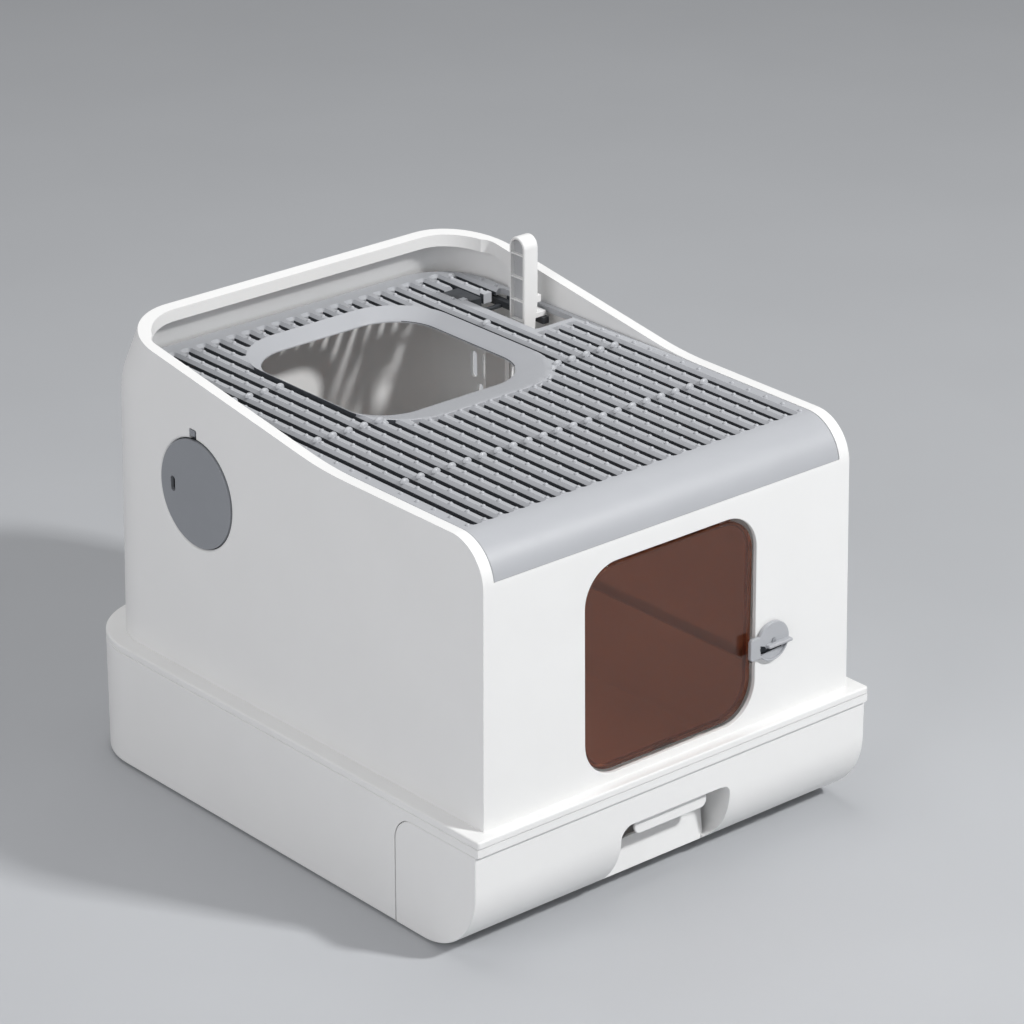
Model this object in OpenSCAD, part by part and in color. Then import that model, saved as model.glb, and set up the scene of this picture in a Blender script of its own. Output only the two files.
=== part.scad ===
// Enclosed litter box with a pull-out drawer, a grille lid with a top entry and a see-through flap.
// X runs along the front, the front faces -Y, and Z = 0 is the floor below the middle of the base.

/* [Base] */
// Width over the side walls
base_w = 410; // [396:1:430]
// Depth from the hood's front lip to the rear wall
base_d = 518; // [505:1:540]
// Height of the top of the hood's flange above the floor
flange_z = 109; // [106:1:116]
// Thickness of the hood's flange
flange_t = 6.5; // [5:0.5:8]
// Wall thickness of the base
base_wall = 3; // [2.5:0.1:4]
// Radius of the rear corners in plan
base_r = 67; // [55:1:75]
// Thickness of the base's floor
base_floor = 3; // [2:0.5:4]
// Height of the rail over the drawer's front
rail_h = 6.5; // [5:0.5:8]
// Width of the ledge that carries the hood
ledge_w = 12; // [10.5:0.5:13]
// Thickness of that ledge
ledge_t = 3; // [2.5:0.5:4]
// How far the base's front lies behind the hood's lip
base_front = 0.8; // [0.4:0.1:2]
// Height of the rubber feet
foot_h = 2; // [1.5:0.5:4]
// Radius of the rubber feet
foot_r = 12; // [8:1:15]
// Distance of the feet from the side walls
foot_side = 40; // [20:1:60]
// Distance of the front feet behind the drawer's seam
foot_front = 30; // [20:1:60]
// Distance of the rear feet from the rear wall
foot_rear = 60; // [40:1:80]

/* [Drawer] */
// How far the drawer's front lies behind the hood's lip
front_back = 3.8; // [3:0.2:6]
// Radius of the round along the bottom of the drawer's front
front_r = 61.5; // [50:0.5:64]
// Gap between the drawer's front and the floor
front_lift = 1; // [0.5:0.5:2]
// Gap between the drawer's front and the rail above it
front_gap = 1; // [0.6:0.2:2]
// Length of the wings that wrap round the sides
wing_l = 94.8; // [88:0.2:100]
// Radius of the wings' upper rear corners
wing_r = 21; // [10:1:25]
// Wall thickness of the drawer's front
front_wall = 3; // [2.5:0.1:4]
// Width of the finger recess
pull_w = 114.4; // [100:0.2:130]
// Height of the finger recess's top edge above the floor
pull_top = 68.8; // [64:0.2:72]
// Radius of the finger recess's upper corners
pull_r = 16; // [8:1:18]
// Height of the top edge of the recess's sloping plate
plate_top = 40; // [34:1:44]
// Width of the grip tab in the recess
tab_w = 75.6; // [60:0.2:85]
// How far the grip tab hangs below the recess's top edge
tab_drop = 14.5; // [8:0.5:18]
// Wall thickness of the litter tray
tray_wall = 2.5; // [2:0.1:3.5]
// Height of the litter tray's bottom above the floor
tray_z = 7; // [6.5:0.5:10]
// Gap between the litter tray's rim and the rail above it
tray_under = 4; // [3:0.5:10]
// Gap between the tray's side wall and the base's side wall
tray_side = 13; // [12.5:0.5:16]
// Gap between the tray and the back of the base's rear wall
tray_rear = 12; // [8:1:20]
// Distance from the drawer's face to the tray's front wall
tray_front = 44.6; // [43:0.2:55]

/* [Runners] */
// Height of the channel that the tray's ribs slide in
rib_z = 64; // [55:1:68]
// Height of the gap inside the runner's channel
channel_h = 4; // [3.4:0.1:5]
// Thickness of the runner's web and flanges
runner_t = 2.5; // [2:0.1:3]
// Width of the runner
runner_w = 10; // [9:0.5:11]
// Distance of the runners' front ends behind the drawer's seam
runner_front = 20.4; // [16:0.1:30]
// Distance of the drawer stops behind the drawer's seam
stop_front = 10.1; // [8:0.1:20]
// Sliding clearance of the tray's ribs
rib_gap = 0.3; // [0.2:0.05:0.5]

/* [Hood] */
// Ledge left outside the hood at the sides
hood_in_side = 14.6; // [13:0.2:18]
// Ledge left outside the hood at the front
hood_in_front = 11; // [9:0.5:13]
// Ledge left outside the hood at the rear
hood_in_rear = 11.6; // [10:0.2:15]
// Wall thickness of the hood
hood_wall = 3.5; // [3:0.1:4]
// Draft of the hood's walls in degrees
draft = 0.75; // [0.4:0.05:0.9]
// Radius of the hood's rear corners in plan
hood_r = 62; // [50:1:66]
// Height of the lid's flat top above the flange
lid_up = 231.4; // [220:0.2:240]
// Radius of the round along the hood's upper front edge
brow_r = 36.3; // [32:0.1:40]
// Height of the rim's rear edge above the lid's flat top
rim_up = 41.4; // [36:0.2:46]
// Distance of the rim's rear edge in front of the base's rear wall
rim_back = 41.3; // [38:0.1:45]
// Slope of the rim behind the bend in degrees
rim_slope = 8.6; // [7.5:0.1:10]
// Forward lean of the rear wall's upper part in degrees
rim_lean = 27.5; // [25:0.5:30]
// Width of the rim's top at the rear edge
rim_w = 10.3; // [9:0.1:12]
// Height of the plain band below the rim's rear edge
band_h = 9.2; // [6:0.2:12]
// Thickness of the leaning wall below that band
lean_wall = 6.6; // [5.5:0.1:7.5]
// Thickness of the rim beside the lid
rim_side = 13; // [11.6:0.2:15]
// Depth of the rim's underside below the lid's flat top
rim_under = 18.4; // [16:0.2:22]

/* [Doorway] */
// Half the width of the front doorway
door_x = 88.65; // [80:0.05:92]
// Height of the doorway's sill above the flange
door_up = 6.7; // [5.5:0.1:15]
// Height of the bar between the doorway and the lid's front band
door_bar = 17; // [14:0.1:24]
// Corner radius of the doorway
door_r = 32; // [20:1:45]
// Gap round the flap
door_gap = 1.2; // [0.8:0.1:2]
// Thickness of the flap
door_t = 3; // [2:0.1:3.5]
// Depth of the flap's face behind the hood's lower front edge
door_in = 5.4; // [5:0.1:6]
// Width of the flap's raised border
door_rim_w = 6; // [4:0.5:8]
// Height of the flap's raised border
door_rim_t = 1.5; // [1:0.1:2]
// Radius of the flap's hinge rod
rod_r = 2; // [1.5:0.1:2.5]

/* [Lid] */
// Gap between the lid and the well's walls
lid_gap = 0.4; // [0.3:0.1:0.8]
// Thickness of the grille
lid_t = 5; // [4:0.1:6]
// Distance from slot to slot
slot_pitch = 15.4; // [14:0.1:15.4]
// Width of a slot
slot_w = 6.5; // [5:0.1:7.5]
// Distance of the slots' front ends behind the lid's front curve
slot_front = 2.1; // [1:0.1:6]
// Distance of the slots' rear ends from the lid's rear edge
slot_rear = 17; // [12:0.1:25]
// Depth of the lower edge of the lid's curved front band below its flat top
band_down = 30.9; // [28:0.1:33]
// Wall thickness of the curved front band
band_t = 3; // [2.5:0.1:3.5]
// Half the width of the top entry
entry_x = 84.5; // [70:0.1:88]
// Length of the top entry
entry_l = 173; // [140:0.5:175]
// Distance of the top entry from the lid's rear edge
entry_back = 48.1; // [48:0.1:70]
// Corner radius of the top entry
entry_r = 43; // [38:1:60]
// Width of the entry's collar at the sides
collar_w = 13; // [10:0.1:14]
// Width of the entry's collar at the front
collar_front = 39; // [30:0.5:40]
// Width of the entry's collar at the rear
collar_rear = 11.5; // [11:0.1:16]
// Depth of the collar's funnel
collar_h = 11; // [8:0.5:14]
// Distance of the lid's pivot in front of the base's rear wall
lid_pivot_back = 79; // [76:1:84]
// Depth of the lid's pivot below its flat top
lid_pivot_down = 10.4; // [10:0.1:12]
// Radius of the lid's pivot pins
lid_pin_r = 2.5; // [2:0.1:3]

/* [Scoop] */
// Middle of the scoop's handle from the notch's left edge
scoop_side = 20.3; // [19.5:0.1:20.7]
// Middle of the scoop's handle from the notch's front edge
scoop_front = 38.8; // [36:0.1:40]
// Thickness of the scoop's handle
handle_t = 15.4; // [12:0.1:15.6]
// Width of the scoop's handle
handle_w = 19.4; // [15:0.1:20]
// Height of the top of the scoop's handle above the lid
handle_up = 66.5; // [60:0.1:80]
// Width of the scoop's blade
blade_w = 70; // [60:1:70]
// Length of the scoop's blade
blade_l = 112; // [90:1:120]
// Depth of the scoop's blade
blade_d = 24; // [18:1:25]
// Wall thickness of the blade
blade_t = 2.4; // [2:0.1:3]
// Width of the notch that the scoop stands in
notch_w = 41.8; // [41:0.2:42]
// Length of that notch
notch_l = 90.7; // [88:0.1:91]
// Border of the lid beside that notch
notch_side = 5.7; // [5:0.1:6]
// Distance of that notch from the lid's rear edge
notch_back = 77.1; // [76:0.1:78]

/* [Lock] */
// Distance of the lock's axis from the doorway's edge
lock_side = 15.95; // [15.4:0.05:18]
// Height of the lock's axis above the doorway's sill
lock_up = 62.7; // [40:0.1:110]
// Radius of the lock's knob
lock_r = 17.3; // [14:0.1:18]
// Reach of the lock's tab from the axis
lock_reach = 26.7; // [25:0.1:30]
// Width of the lock's tab
lock_tab_w = 20; // [14:1:24]
// Radius of the lock's spindle
spindle_r = 4; // [3:0.1:5]

/* [Odour unit] */
// Place of the odour cover's axis behind the middle of the base
odour_y = 105; // [90:0.5:110]
// Distance of the charcoal cup below the rim's underside
odour_under = 3; // [0.6:0.1:20]
// Radius of the odour cover
odour_r = 45.4; // [40:0.1:46]
// Depth of the charcoal cup
cup_d = 30; // [24:1:40]

/* [Fits] */
// Running clearance of a pin in its bore
pin_gap = 0.05; // [0.03:0.01:0.08]
// Gap left between pieces that rest on each other and move
seat_gap = 0.3; // [0.2:0.05:0.4]
// Screw shank radius
screw_r = 2; // [1.5:0.1:2.5]

/* [Hidden] */

FINE = 96;              // facets that mark a true circle
BIG = 900;              // longer than anything in the part
WHITE = [0.94, 0.94, 0.93];
GREY = [0.66, 0.68, 0.71];
DARK = [0.24, 0.25, 0.27];
AMBER = [0.42, 0.26, 0.20, 0.7];
STEEL = [0.75, 0.76, 0.78];
BLACK = [0.12, 0.12, 0.13];

// Base
half_w = base_w / 2;
y_front = -base_d / 2;
y_rear = base_d / 2;
base_top = flange_z - flange_t;
rail_z = base_top - rail_h;
inner_x = half_w - base_wall;
floor_top = foot_h + base_floor;
tongue_w = 2.4;
tongue_l = 30;
tongue_h = 6;
tongue_x = inner_x - 3;
tongue_gap = 0.4;
tongue_front = 159;
tongue_rear = 139;

// Drawer front: its side outline, seen along X
face_y = y_front + front_back;
seam_y = face_y + wing_l;
front_top = rail_z - front_gap;
bend_y = face_y + front_r;
bend_z = front_lift + front_r;
seam_gap = 0.6;
tab_z = pull_top - tab_drop;
tab_back = 6.3;         // face of the grip tab behind the drawer's face
tab_t = 2.5;
plate_back = 25.9;      // upper edge of the sloping plate behind the drawer's face
plate_lean = 4;
plate_t = 2.5;
pull_bottom = 14;
boss_r = 5;
boss_side = 62.8;
boss_low = 29;
boss_high = 23;
boss_x = pull_w / 2 + boss_side;
boss_z = [front_lift + boss_low, front_top - boss_high];

// Tray and runners
tray_x = inner_x - tray_side;
tray_y0 = face_y + tray_front;
tray_y1 = y_rear - tray_rear;
tray_r = base_r - 7;
tray_top = rail_z - tray_under;
rib_y1 = y_rear - base_r - 8;
rib_x = inner_x - runner_t - 0.7;
runner_y0 = seam_y + runner_front;
runner_y1 = y_rear - base_r - 2;
stop_y0 = seam_y + stop_front;
stop_l = 6;
stop_h = 8;
stop_z = rib_z + channel_h + runner_t + 3.5;
lug_l = 8;
lug_w = 6.5;
screw_head_r = 4;
screw_head_h = 2.2;
screw_l = 12;

// Hood
hood_x = half_w - hood_in_side;
hood_y0 = y_front + hood_in_front;
hood_y1 = y_rear - hood_in_rear;
rim_y = y_rear - rim_back;
lid_z = flange_z + lid_up;
rim_z = lid_z + rim_up;
rim_under_z = lid_z - rim_under;
well_x = hood_x - rim_side;
band_z = lid_z - band_down;
slope = tan(draft);
lean = tan(rim_lean);
knee_z = (rim_y + lean * rim_z - hood_y1 - slope * flange_z) / (lean - slope);
knee_y = rim_y + lean * (rim_z - knee_z);
brow_z = lid_z - brow_r;
brow_y = front_at(brow_z) + brow_r / cos(draft);
crest_y = rim_y - (rim_z - lid_z) / tan(rim_slope);
crest_r = 350;
sill_w = 14;
pin_hole = 7;
well_r = 49;
lid_half = well_x - lid_gap;
ledge_top = lid_z - lid_t - seat_gap;
side_ledge = 9;
ledge_h = 4;
lip_z = band_z - seat_gap;
lip_in = 1.6;
lip_t = 2;
lip_down = 3;
lip_up = 5.5;

// Vents in the right wall
vent_rows = 3;
vent_n = 9;
vent_w = 6.5;
vent_h = 24.5;
vent_pitch = 12.2;
vent_row = 29;
vent_rear = 56.5;
vent_down = 56;
vent_reach = 30;

// Door and lock
door_z0 = flange_z + door_up;
door_z1 = lip_z - door_bar;
door_y = hood_y0 + door_in;
door_back = door_y + door_t;
rod_y = door_back + 5.1;
rod_z = door_z1 + 6.9;
ear_side = 30.65;
ear_x = door_x - ear_side;
ear_w = 12;
ear_h = 16.8;
bracket_side = 15;
bracket_x = ear_x + bracket_side;
bracket_w = 6;
bracket_t = 5;
barrel_wall = 2.2;
magnet_w = 24;
magnet_t = 6;
striker_w = 20;
striker_t = 1;
lock_x = door_x + lock_side;
lock_z = door_z0 + lock_up;
lock_face = front_at(lock_z);
knob_y = lock_face - 0.4;
knob_t = 5.6;
grip_h = 4.2;
grip_w = 4.4;
lock_tab_t = 3;
lock_tab_low = 9.4;
washer_t = 1.2;
washer_y = lock_face + hood_wall + 0.4;

// Lid
lid_r = well_r + 3;
pivot_y = y_rear - lid_pivot_back;
pivot_z = lid_z - lid_pivot_down;
lug_r = lid_pin_r + 2.5;
lid_rear = knee_y - (lid_z - knee_z) * lean - lean_wall / cos(rim_lean) - 2.7;
lid_border = 7;
slot_n = 2 * floor((lid_half - lid_border) / slot_pitch);
slot_y0 = brow_y + slot_front;
slot_y1 = lid_rear - slot_rear;
entry_y1 = lid_rear - entry_back;
entry_y0 = entry_y1 - entry_l;
notch_x1 = lid_half - notch_side;
notch_x0 = notch_x1 - notch_w;
notch_y1 = lid_rear - notch_back;
notch_y0 = notch_y1 - notch_l;
notch_frame = 6;
funnel_w = 10;
ramp = 3.6;

// Scoop and its holder
scoop_x = notch_x0 + scoop_side;
scoop_y = notch_y0 + scoop_front;
holder_z = lid_z - lid_t - 2.4;
holder_t = 6;
holder_w = 14;
post_r = 2.6;
post_out = 2.7;
post_screw_r = 1.2;
post_head = 1.6;
arm_x0 = scoop_x + 13.9;
arm_w = 6.5;
arm_l = 9;
hook_w = 12;
hook_t = 4.5;
nub_up = 15;
nub_w = 5;
nub_h = 6.6;
nub_out = 3.6;
neck_down = 24;
neck_z = holder_z - holder_t - neck_down;
blade_out = 2.4;
groove_edge = 2.6;
groove_d = 4;
groove_down = 6;
groove_first = 15;
groove_pitch = 20.2;
groove_rib = 1.4;
sift_pitch = 12.4;
sift_w = 6;
sift_low = 16;
sift_high = 14;

// Odour unit
cup_flange = 5.5;
odour_z = rim_under_z - odour_r - cup_flange - odour_under;
wall_x = hood_x - (odour_z - flange_z) * slope;
hole_r = odour_r + 0.6;
hole_d = 9;
key_w = 9;
key_y = odour_y + 2.6;
key_up = 9;
cover_t = 3.4;
cover_x = -wall_x - 0.6;
cover_skirt = 9;
skirt_t = 2;
skirt_gap = 0.5;
coin_w = 12;
coin_h = 4.5;
coin_d = 2;
coin_in = 15.8;
coin_r = odour_r - coin_in;
cup_r = odour_r - 1.4;
cup_wall = 2;
cup_flange_t = 3;
cup_x = wall_x - hood_wall - 0.9;
cup_slot_w = 4;
cup_slot_pitch = 10;
cup_slot_edge = 8;
pack_in = 9.5;
seal_t = -cup_x - cover_x - cover_t - 0.05;

// Y of the hood's drafted front face at height z
function front_at(z) = hood_y0 + (z - flange_z) * tan(draft);

// Y of the hood's drafted rear face at height z, below the knee
function rear_at(z) = hood_y1 - (z - flange_z) * tan(draft);

// Points on an arc round c from angle a0 to a1
function arc(c, r, a0, a1, n) =
    [for (i = [0 : n]) [c[0] + r * cos(a0 + (a1 - a0) * i / n), c[1] + r * sin(a0 + (a1 - a0) * i / n)]];

// Turns an outline drawn in (Y, Z) into a solid from X = x0 to x1
module along_x(x0, x1) {
    translate([x0, 0, 0]) rotate([90, 0, 90]) linear_extrude(x1 - x0) children();
}

// Turns an outline drawn in (X, Z) into a solid from Y = y0 to y1
module along_y(y0, y1) {
    translate([0, y1, 0]) rotate([90, 0, 0]) linear_extrude(y1 - y0) children();
}

module along_z(z0, z1) {
    translate([0, 0, z0]) linear_extrude(z1 - z0) children();
}

module block(low, high) {
    translate(low) cube(high - low);
}

// Rectangle with four round corners
module rounded(x0, y0, x1, y1, r) {
    translate([x0 + r, y0]) square([x1 - x0 - 2 * r, y1 - y0]);
    translate([x0, y0 + r]) square([x1 - x0, y1 - y0 - 2 * r]);
    for (x = [x0 + r, x1 - r], y = [y0 + r, y1 - r]) translate([x, y]) circle(r, $fn = FINE);
}

// Slot with round ends, w wide round x, from y0 to y1
module slot(x, y0, y1, w) {
    translate([x - w / 2, y0 + w / 2]) square([w, y1 - y0 - w]);
    for (y = [y0 + w / 2, y1 - w / 2]) translate([x, y]) circle(d = w, $fn = FINE);
}

// Plan with square front corners and round rear corners
module rear_round(hw, y0, y1, r) {
    translate([-hw, y0]) square([2 * hw, y1 - y0 - r]);
    translate([-hw + r, y0]) square([2 * (hw - r), y1 - y0]);
    for (s = [-1, 1]) translate([s * (hw - r), y1 - r]) circle(r, $fn = FINE);
}

// Mirrored copies at the left and the right
module both_sides() {
    for (s = [0, 1]) mirror([s, 0, 0]) children();
}

// Base: floor, walls, ledge for the hood and the rail over the drawer
module base_frame() {
    color(WHITE) difference() {
        union() {
            difference() {
                along_z(foot_h, base_top) rear_round(half_w, y_front + base_front, y_rear, base_r);
                along_z(floor_top, base_top - ledge_t) base_inside(base_wall);
                along_z(floor_top, BIG) base_inside(ledge_w);
                block([-BIG, -BIG, -BIG], [BIG, seam_y + seam_gap, floor_top]);
            }
            block([-half_w, y_front + base_front, rail_z], [half_w, y_front + ledge_w, base_top]);
        }
        drawer_mouth();
        for (y = tongue_ys()) both_sides()
            block([tongue_x - tongue_w / 2 - tongue_gap, y - tongue_l / 2 - tongue_gap, rail_z],
                  [tongue_x + tongue_w / 2 + tongue_gap, y + tongue_l / 2 + tongue_gap, BIG]);
    }
}

module base_inside(wall) {
    rear_round(half_w - wall, y_front + wall, y_rear - wall, base_r - wall);
}

// Opening for the drawer's front and its wings
module drawer_mouth() {
    difference() {
        along_x(-BIG, BIG) wing_outline(seam_gap, BIG);
        block([-BIG, -BIG, rail_z], [BIG, BIG, BIG]);
    }
}

function tongue_ys() = [y_front + tongue_front, y_rear - tongue_rear];

// Side outline of the drawer's wings, grown by g at the seam
module wing_outline(g, reach) {
    z1 = front_top + g;
    y1 = seam_y + g;
    r = wing_r + g;
    translate([-reach, -reach]) square([y1 - r + reach, z1 + reach]);
    translate([-reach, -reach]) square([y1 + reach, z1 - r + reach]);
    translate([y1 - r, z1 - r]) circle(r, $fn = FINE);
}

// Body of the drawer's front seen from the side, with its skin inset by t
module front_outline(t) {
    translate([bend_y, bend_z]) circle(front_r - t, $fn = FINE);
    translate([face_y + t, bend_z]) square([BIG, BIG]);
    translate([bend_y, front_lift + t]) square([BIG, BIG]);
}

module wing_shape() {
    intersection() {
        front_outline(0);
        wing_outline(0, BIG);
    }
}

// Outline of the finger recess, with round upper corners
module pull_window() {
    translate([-pull_w / 2 + pull_r, pull_bottom]) square([pull_w - 2 * pull_r, pull_top - pull_bottom]);
    translate([-pull_w / 2, pull_bottom]) square([pull_w, pull_top - pull_r - pull_bottom]);
    for (s = [-1, 1])
        translate([s * (pull_w / 2 - pull_r), pull_top - pull_r]) circle(pull_r, $fn = FINE);
}

// Drawer front: curved fascia, side wings, finger recess with grip tab, screw bosses
module drawer_front() {
    color(WHITE) difference() {
        union() {
            difference() {
                along_x(-half_w, half_w) wing_shape();
                along_x(-half_w + front_wall, half_w - front_wall) front_outline(front_wall);
            }
            both_sides() intersection() {
                along_x(pull_w / 2, pull_w / 2 + front_wall) wing_shape();
                block([0, face_y, 0], [BIG, face_y + plate_back + plate_t, pull_top + front_wall]);
            }
            pull_plate();
            for (x = [-boss_x, boss_x], z = boss_z) intersection() {
                translate([x, face_y, z]) rotate([-90, 0, 0])
                    cylinder(h = tray_front, r = boss_r, $fn = FINE);
                along_x(-half_w, half_w) wing_shape();
            }
        }
        difference() {
            along_y(face_y - 1, face_y + plate_back) pull_window();
            pull_plate();
        }
        for (x = [-boss_x, boss_x], z = boss_z)
            translate([x, tray_y0 - screw_l, z]) rotate([-90, 0, 0])
                cylinder(h = screw_l + 1, r = screw_r + pin_gap, $fn = FINE);
    }
    color(WHITE) grip_tab();
}

// Sloping plate that closes the lower part of the recess
module pull_plate() {
    y = face_y + plate_back;
    intersection() {
        along_x(-pull_w / 2 - 1, pull_w / 2 + 1) polygon([
            [y, plate_top], [y + plate_t, plate_top],
            [y + plate_t, pull_bottom - 2], [y - plate_lean, pull_bottom - 2]]);
        along_x(-half_w, half_w) wing_shape();
    }
}

// Tab that the fingers pull on, hung behind the recess's top edge
module grip_tab() {
    y = face_y + tab_back;
    r = 6;
    along_y(y, y + tab_t) rounded(-tab_w / 2, tab_z, tab_w / 2, pull_top + 2 * r, r);
    block([-tab_w / 2 + r, face_y + front_wall, pull_top + 1], [tab_w / 2 - r, y + tab_t, pull_top + r]);
}

// Litter tray with a sliding rib on each side
module litter_tray() {
    color(WHITE) difference() {
        union() {
            along_z(tray_z, tray_top) rear_round(tray_x, tray_y0, tray_y1, tray_r);
            both_sides() {
                block([tray_x - 1, tray_y0, rib_z + rib_gap], [rib_x, rib_y1, rib_z + channel_h - rib_gap]);
                block([tray_x - 1, rib_y1 - lug_l, stop_z], [tray_x + lug_w, rib_y1, stop_z + stop_h]);
            }
        }
        along_z(tray_z + tray_wall, BIG)
            rear_round(tray_x - tray_wall, tray_y0 + tray_wall, tray_y1 - tray_wall, tray_r - tray_wall);
        for (x = [-boss_x, boss_x], z = boss_z)
            translate([x, tray_y0 - 1, z]) rotate([-90, 0, 0])
                cylinder(h = tray_wall + 2, r = screw_r + pin_gap, $fn = FINE);
    }
}

// Screws that hold the tray on the drawer's front
module tray_screws() {
    color(STEEL) for (x = [-boss_x, boss_x], z = boss_z)
        translate([x, tray_y0 + tray_wall, z]) rotate([90, 0, 0]) pan_screw(screw_l + tray_wall - 1);
}

// Pan-head screw whose head sits on Z = 0 and whose shank points along +Z
module pan_screw(length) {
    cylinder(h = length, r = screw_r, $fn = FINE);
    translate([0, 0, -screw_head_h]) cylinder(h = screw_head_h, r = screw_head_r, $fn = FINE);
}

// Channel screwed to the side wall, open towards the tray
module runner() {
    x0 = inner_x - runner_w;
    difference() {
        block([x0, runner_y0, rib_z - runner_t], [inner_x, runner_y1, rib_z + channel_h + runner_t]);
        block([x0 - 1, runner_y0 - 1, rib_z], [inner_x - runner_t, runner_y1 + 1, rib_z + channel_h]);
    }
}

module left_runner() { color(GREY) mirror([1, 0, 0]) runner(); }
module right_runner() { color(GREY) runner(); }

// Stops that catch the tray's lugs when the drawer is fully out
module drawer_stops() {
    color(GREY) both_sides()
        block([tray_x + 1, stop_y0, stop_z], [inner_x, stop_y0 + stop_l, stop_z + stop_h]);
}

module rubber_feet() {
    color(BLACK) both_sides() for (y = [seam_y + foot_front, y_rear - foot_rear])
        translate([half_w - foot_side, y, 0]) cylinder(h = foot_h, r = foot_r, $fn = FINE);
}

// Space inside a round rear corner on side s, at (x, y) at height z, leaning by a degrees
module corner(s, x, y, z, r, a) {
    translate([s * x, y, z]) rotate([a, -s * draft, 0]) mirror([s < 0 ? 1 : 0, 0, 0])
        linear_extrude(2 * BIG, center = true) {
            translate([-BIG, -BIG]) square([BIG, BIG - r]);
            translate([-BIG, -BIG]) square([BIG - r, BIG]);
            translate([-r, -r]) circle(r, $fn = FINE);
        }
}

// Drafted walls, inset by t
module drafted(t) {
    intersection() {
        corner(1, hood_x - t, hood_y1 - t, flange_z, hood_r - t, draft);
        corner(-1, hood_x - t, hood_y1 - t, flange_z, hood_r - t, draft);
    }
}

// Leaning walls above the knee, inset by t
module leaning(x, t, r) {
    intersection() {
        corner(1, x, knee_y - t / cos(rim_lean), knee_z, r, rim_lean);
        corner(-1, x, knee_y - t / cos(rim_lean), knee_z, r, rim_lean);
    }
}

// The hood seen from the side
module hood_outline() {
    polygon(concat(
        [[hood_y0 - flange_t * slope, base_top],
         [brow_y - brow_r * cos(draft), brow_z + brow_r * sin(draft)],
         [brow_y, brow_z], [brow_y, lid_z]],
        arc([crest_y - crest_r * tan(rim_slope / 2), lid_z + crest_r], crest_r, -90, -90 + rim_slope, 6),
        [[rim_y, rim_z], [BIG, rim_z], [BIG, base_top]]));
    translate([brow_y, brow_z]) circle(brow_r, $fn = FINE);
}

// The well that the lid lies in, seen from the side
module well_outline() {
    y_in = rim_y - rim_w;
    band_z0 = rim_z - band_h;
    polygon([
        [-BIG, lip_z], [brow_y, lip_z], [brow_y, rim_under_z],
        [rear_at(rim_under_z) - hood_wall, rim_under_z], [lean_y(knee_z), knee_z],
        [lean_y(band_z0), band_z0], [y_in, band_z0], [y_in, BIG], [-BIG, BIG]]);
}

// Y of the inner face of the leaning wall at height z
function lean_y(z) = knee_y - (z - knee_z) * lean - lean_wall / cos(rim_lean);

// Hood: walls on a flange, with the doorway, the lid's well, vents and the odour unit's hole
module hood() {
    color(WHITE) difference() {
        union() {
            difference() {
                union() {
                    hood_block();
                    along_z(base_top, flange_z) rear_round(half_w, y_front, y_rear, base_r);
                }
                hood_cavity();
            }
            front_lip();
            lid_ledges();
            rod_brackets();
            along_z(base_top, flange_z) translate([-door_x, hood_y0]) square([2 * door_x, sill_w]);
            hood_tongues();
        }
        along_y(-BIG, door_back + 4) rounded(-door_x, door_z0, door_x, door_z1, door_r);
        vents();
        odour_hole();
        translate([lock_x, -BIG, lock_z]) rotate([-90, 0, 0])
            cylinder(h = BIG, r = spindle_r + pin_gap, $fn = FINE);
        both_sides() translate([well_x - 1, pivot_y, pivot_z]) rotate([0, 90, 0])
            cylinder(h = pin_hole, r = lid_pin_r + pin_gap, $fn = FINE);
        translate([-bracket_x - bracket_w, rod_y, rod_z]) rotate([0, 90, 0])
            cylinder(h = 2 * (bracket_x + bracket_w), r = rod_r + pin_gap, $fn = FINE);
    }
}

module hood_block() {
    intersection() {
        along_x(-hood_x, hood_x) hood_outline();
        drafted(0);
        leaning(hood_x - (knee_z - flange_z) * slope, 0, hood_r - 5);
    }
}

module hood_cavity() {
    intersection() {
        drafted(hood_wall);
        along_x(-BIG, BIG) polygon([
            [front_at(0) + hood_wall, 0], [front_at(brow_z) + hood_wall, brow_z],
            [brow_y - sqrt(pow(brow_r - hood_wall, 2) - pow(rim_under_z - brow_z, 2)), rim_under_z],
            [BIG, rim_under_z], [BIG, 0]]);
    }
    intersection() {
        along_x(-well_x, well_x) well_outline();
        leaning(well_x + 0.6, lean_wall, well_r);
    }
}

// Inner lip behind the lid's front band
module front_lip() {
    y = front_at(lip_z) + hood_wall;
    block([-well_x, y + lip_in, lip_z - lip_down], [well_x, y + lip_in + lip_t, lip_z + lip_up]);
    block([-well_x, y - 1, lip_z - lip_down], [well_x, y + lip_in + 1, lip_z - 1]);
}

// Ledges at the sides that the lid rests on, in front of its pivot
module lid_ledges() {
    both_sides()
        block([well_x - side_ledge, brow_y, ledge_top - ledge_h],
              [well_x + 1, notch_y0 - 2 * notch_frame, ledge_top]);
}

// Ears that carry the flap's hinge rod
module rod_brackets() {
    y = front_at(rod_z) + hood_wall;
    for (s = [-1, 1]) translate([s * bracket_x - bracket_w / 2, 0, 0])
        block([0, y - 1, rod_z - bracket_t], [bracket_w, rod_y + bracket_t, rod_z + bracket_t]);
}

// Tongues that drop into the slots of the base's ledge
module hood_tongues() {
    for (y = tongue_ys()) both_sides()
        block([tongue_x - tongue_w / 2, y - tongue_l / 2, base_top - tongue_h],
              [tongue_x + tongue_w / 2, y + tongue_l / 2, base_top + 1]);
}

// Upright vent slots in the right wall, in three staggered rows
module vents() {
    for (k = [0 : vent_rows - 1], i = [0 : vent_n - 1]) {
        y = y_rear - vent_rear - i * vent_pitch - (k % 2) * vent_pitch / 2;
        z = rim_under_z - vent_down - k * vent_row;
        along_x(hood_x - vent_reach, hood_x) slot(y, z - vent_h, z, vent_w);
    }
}

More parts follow.
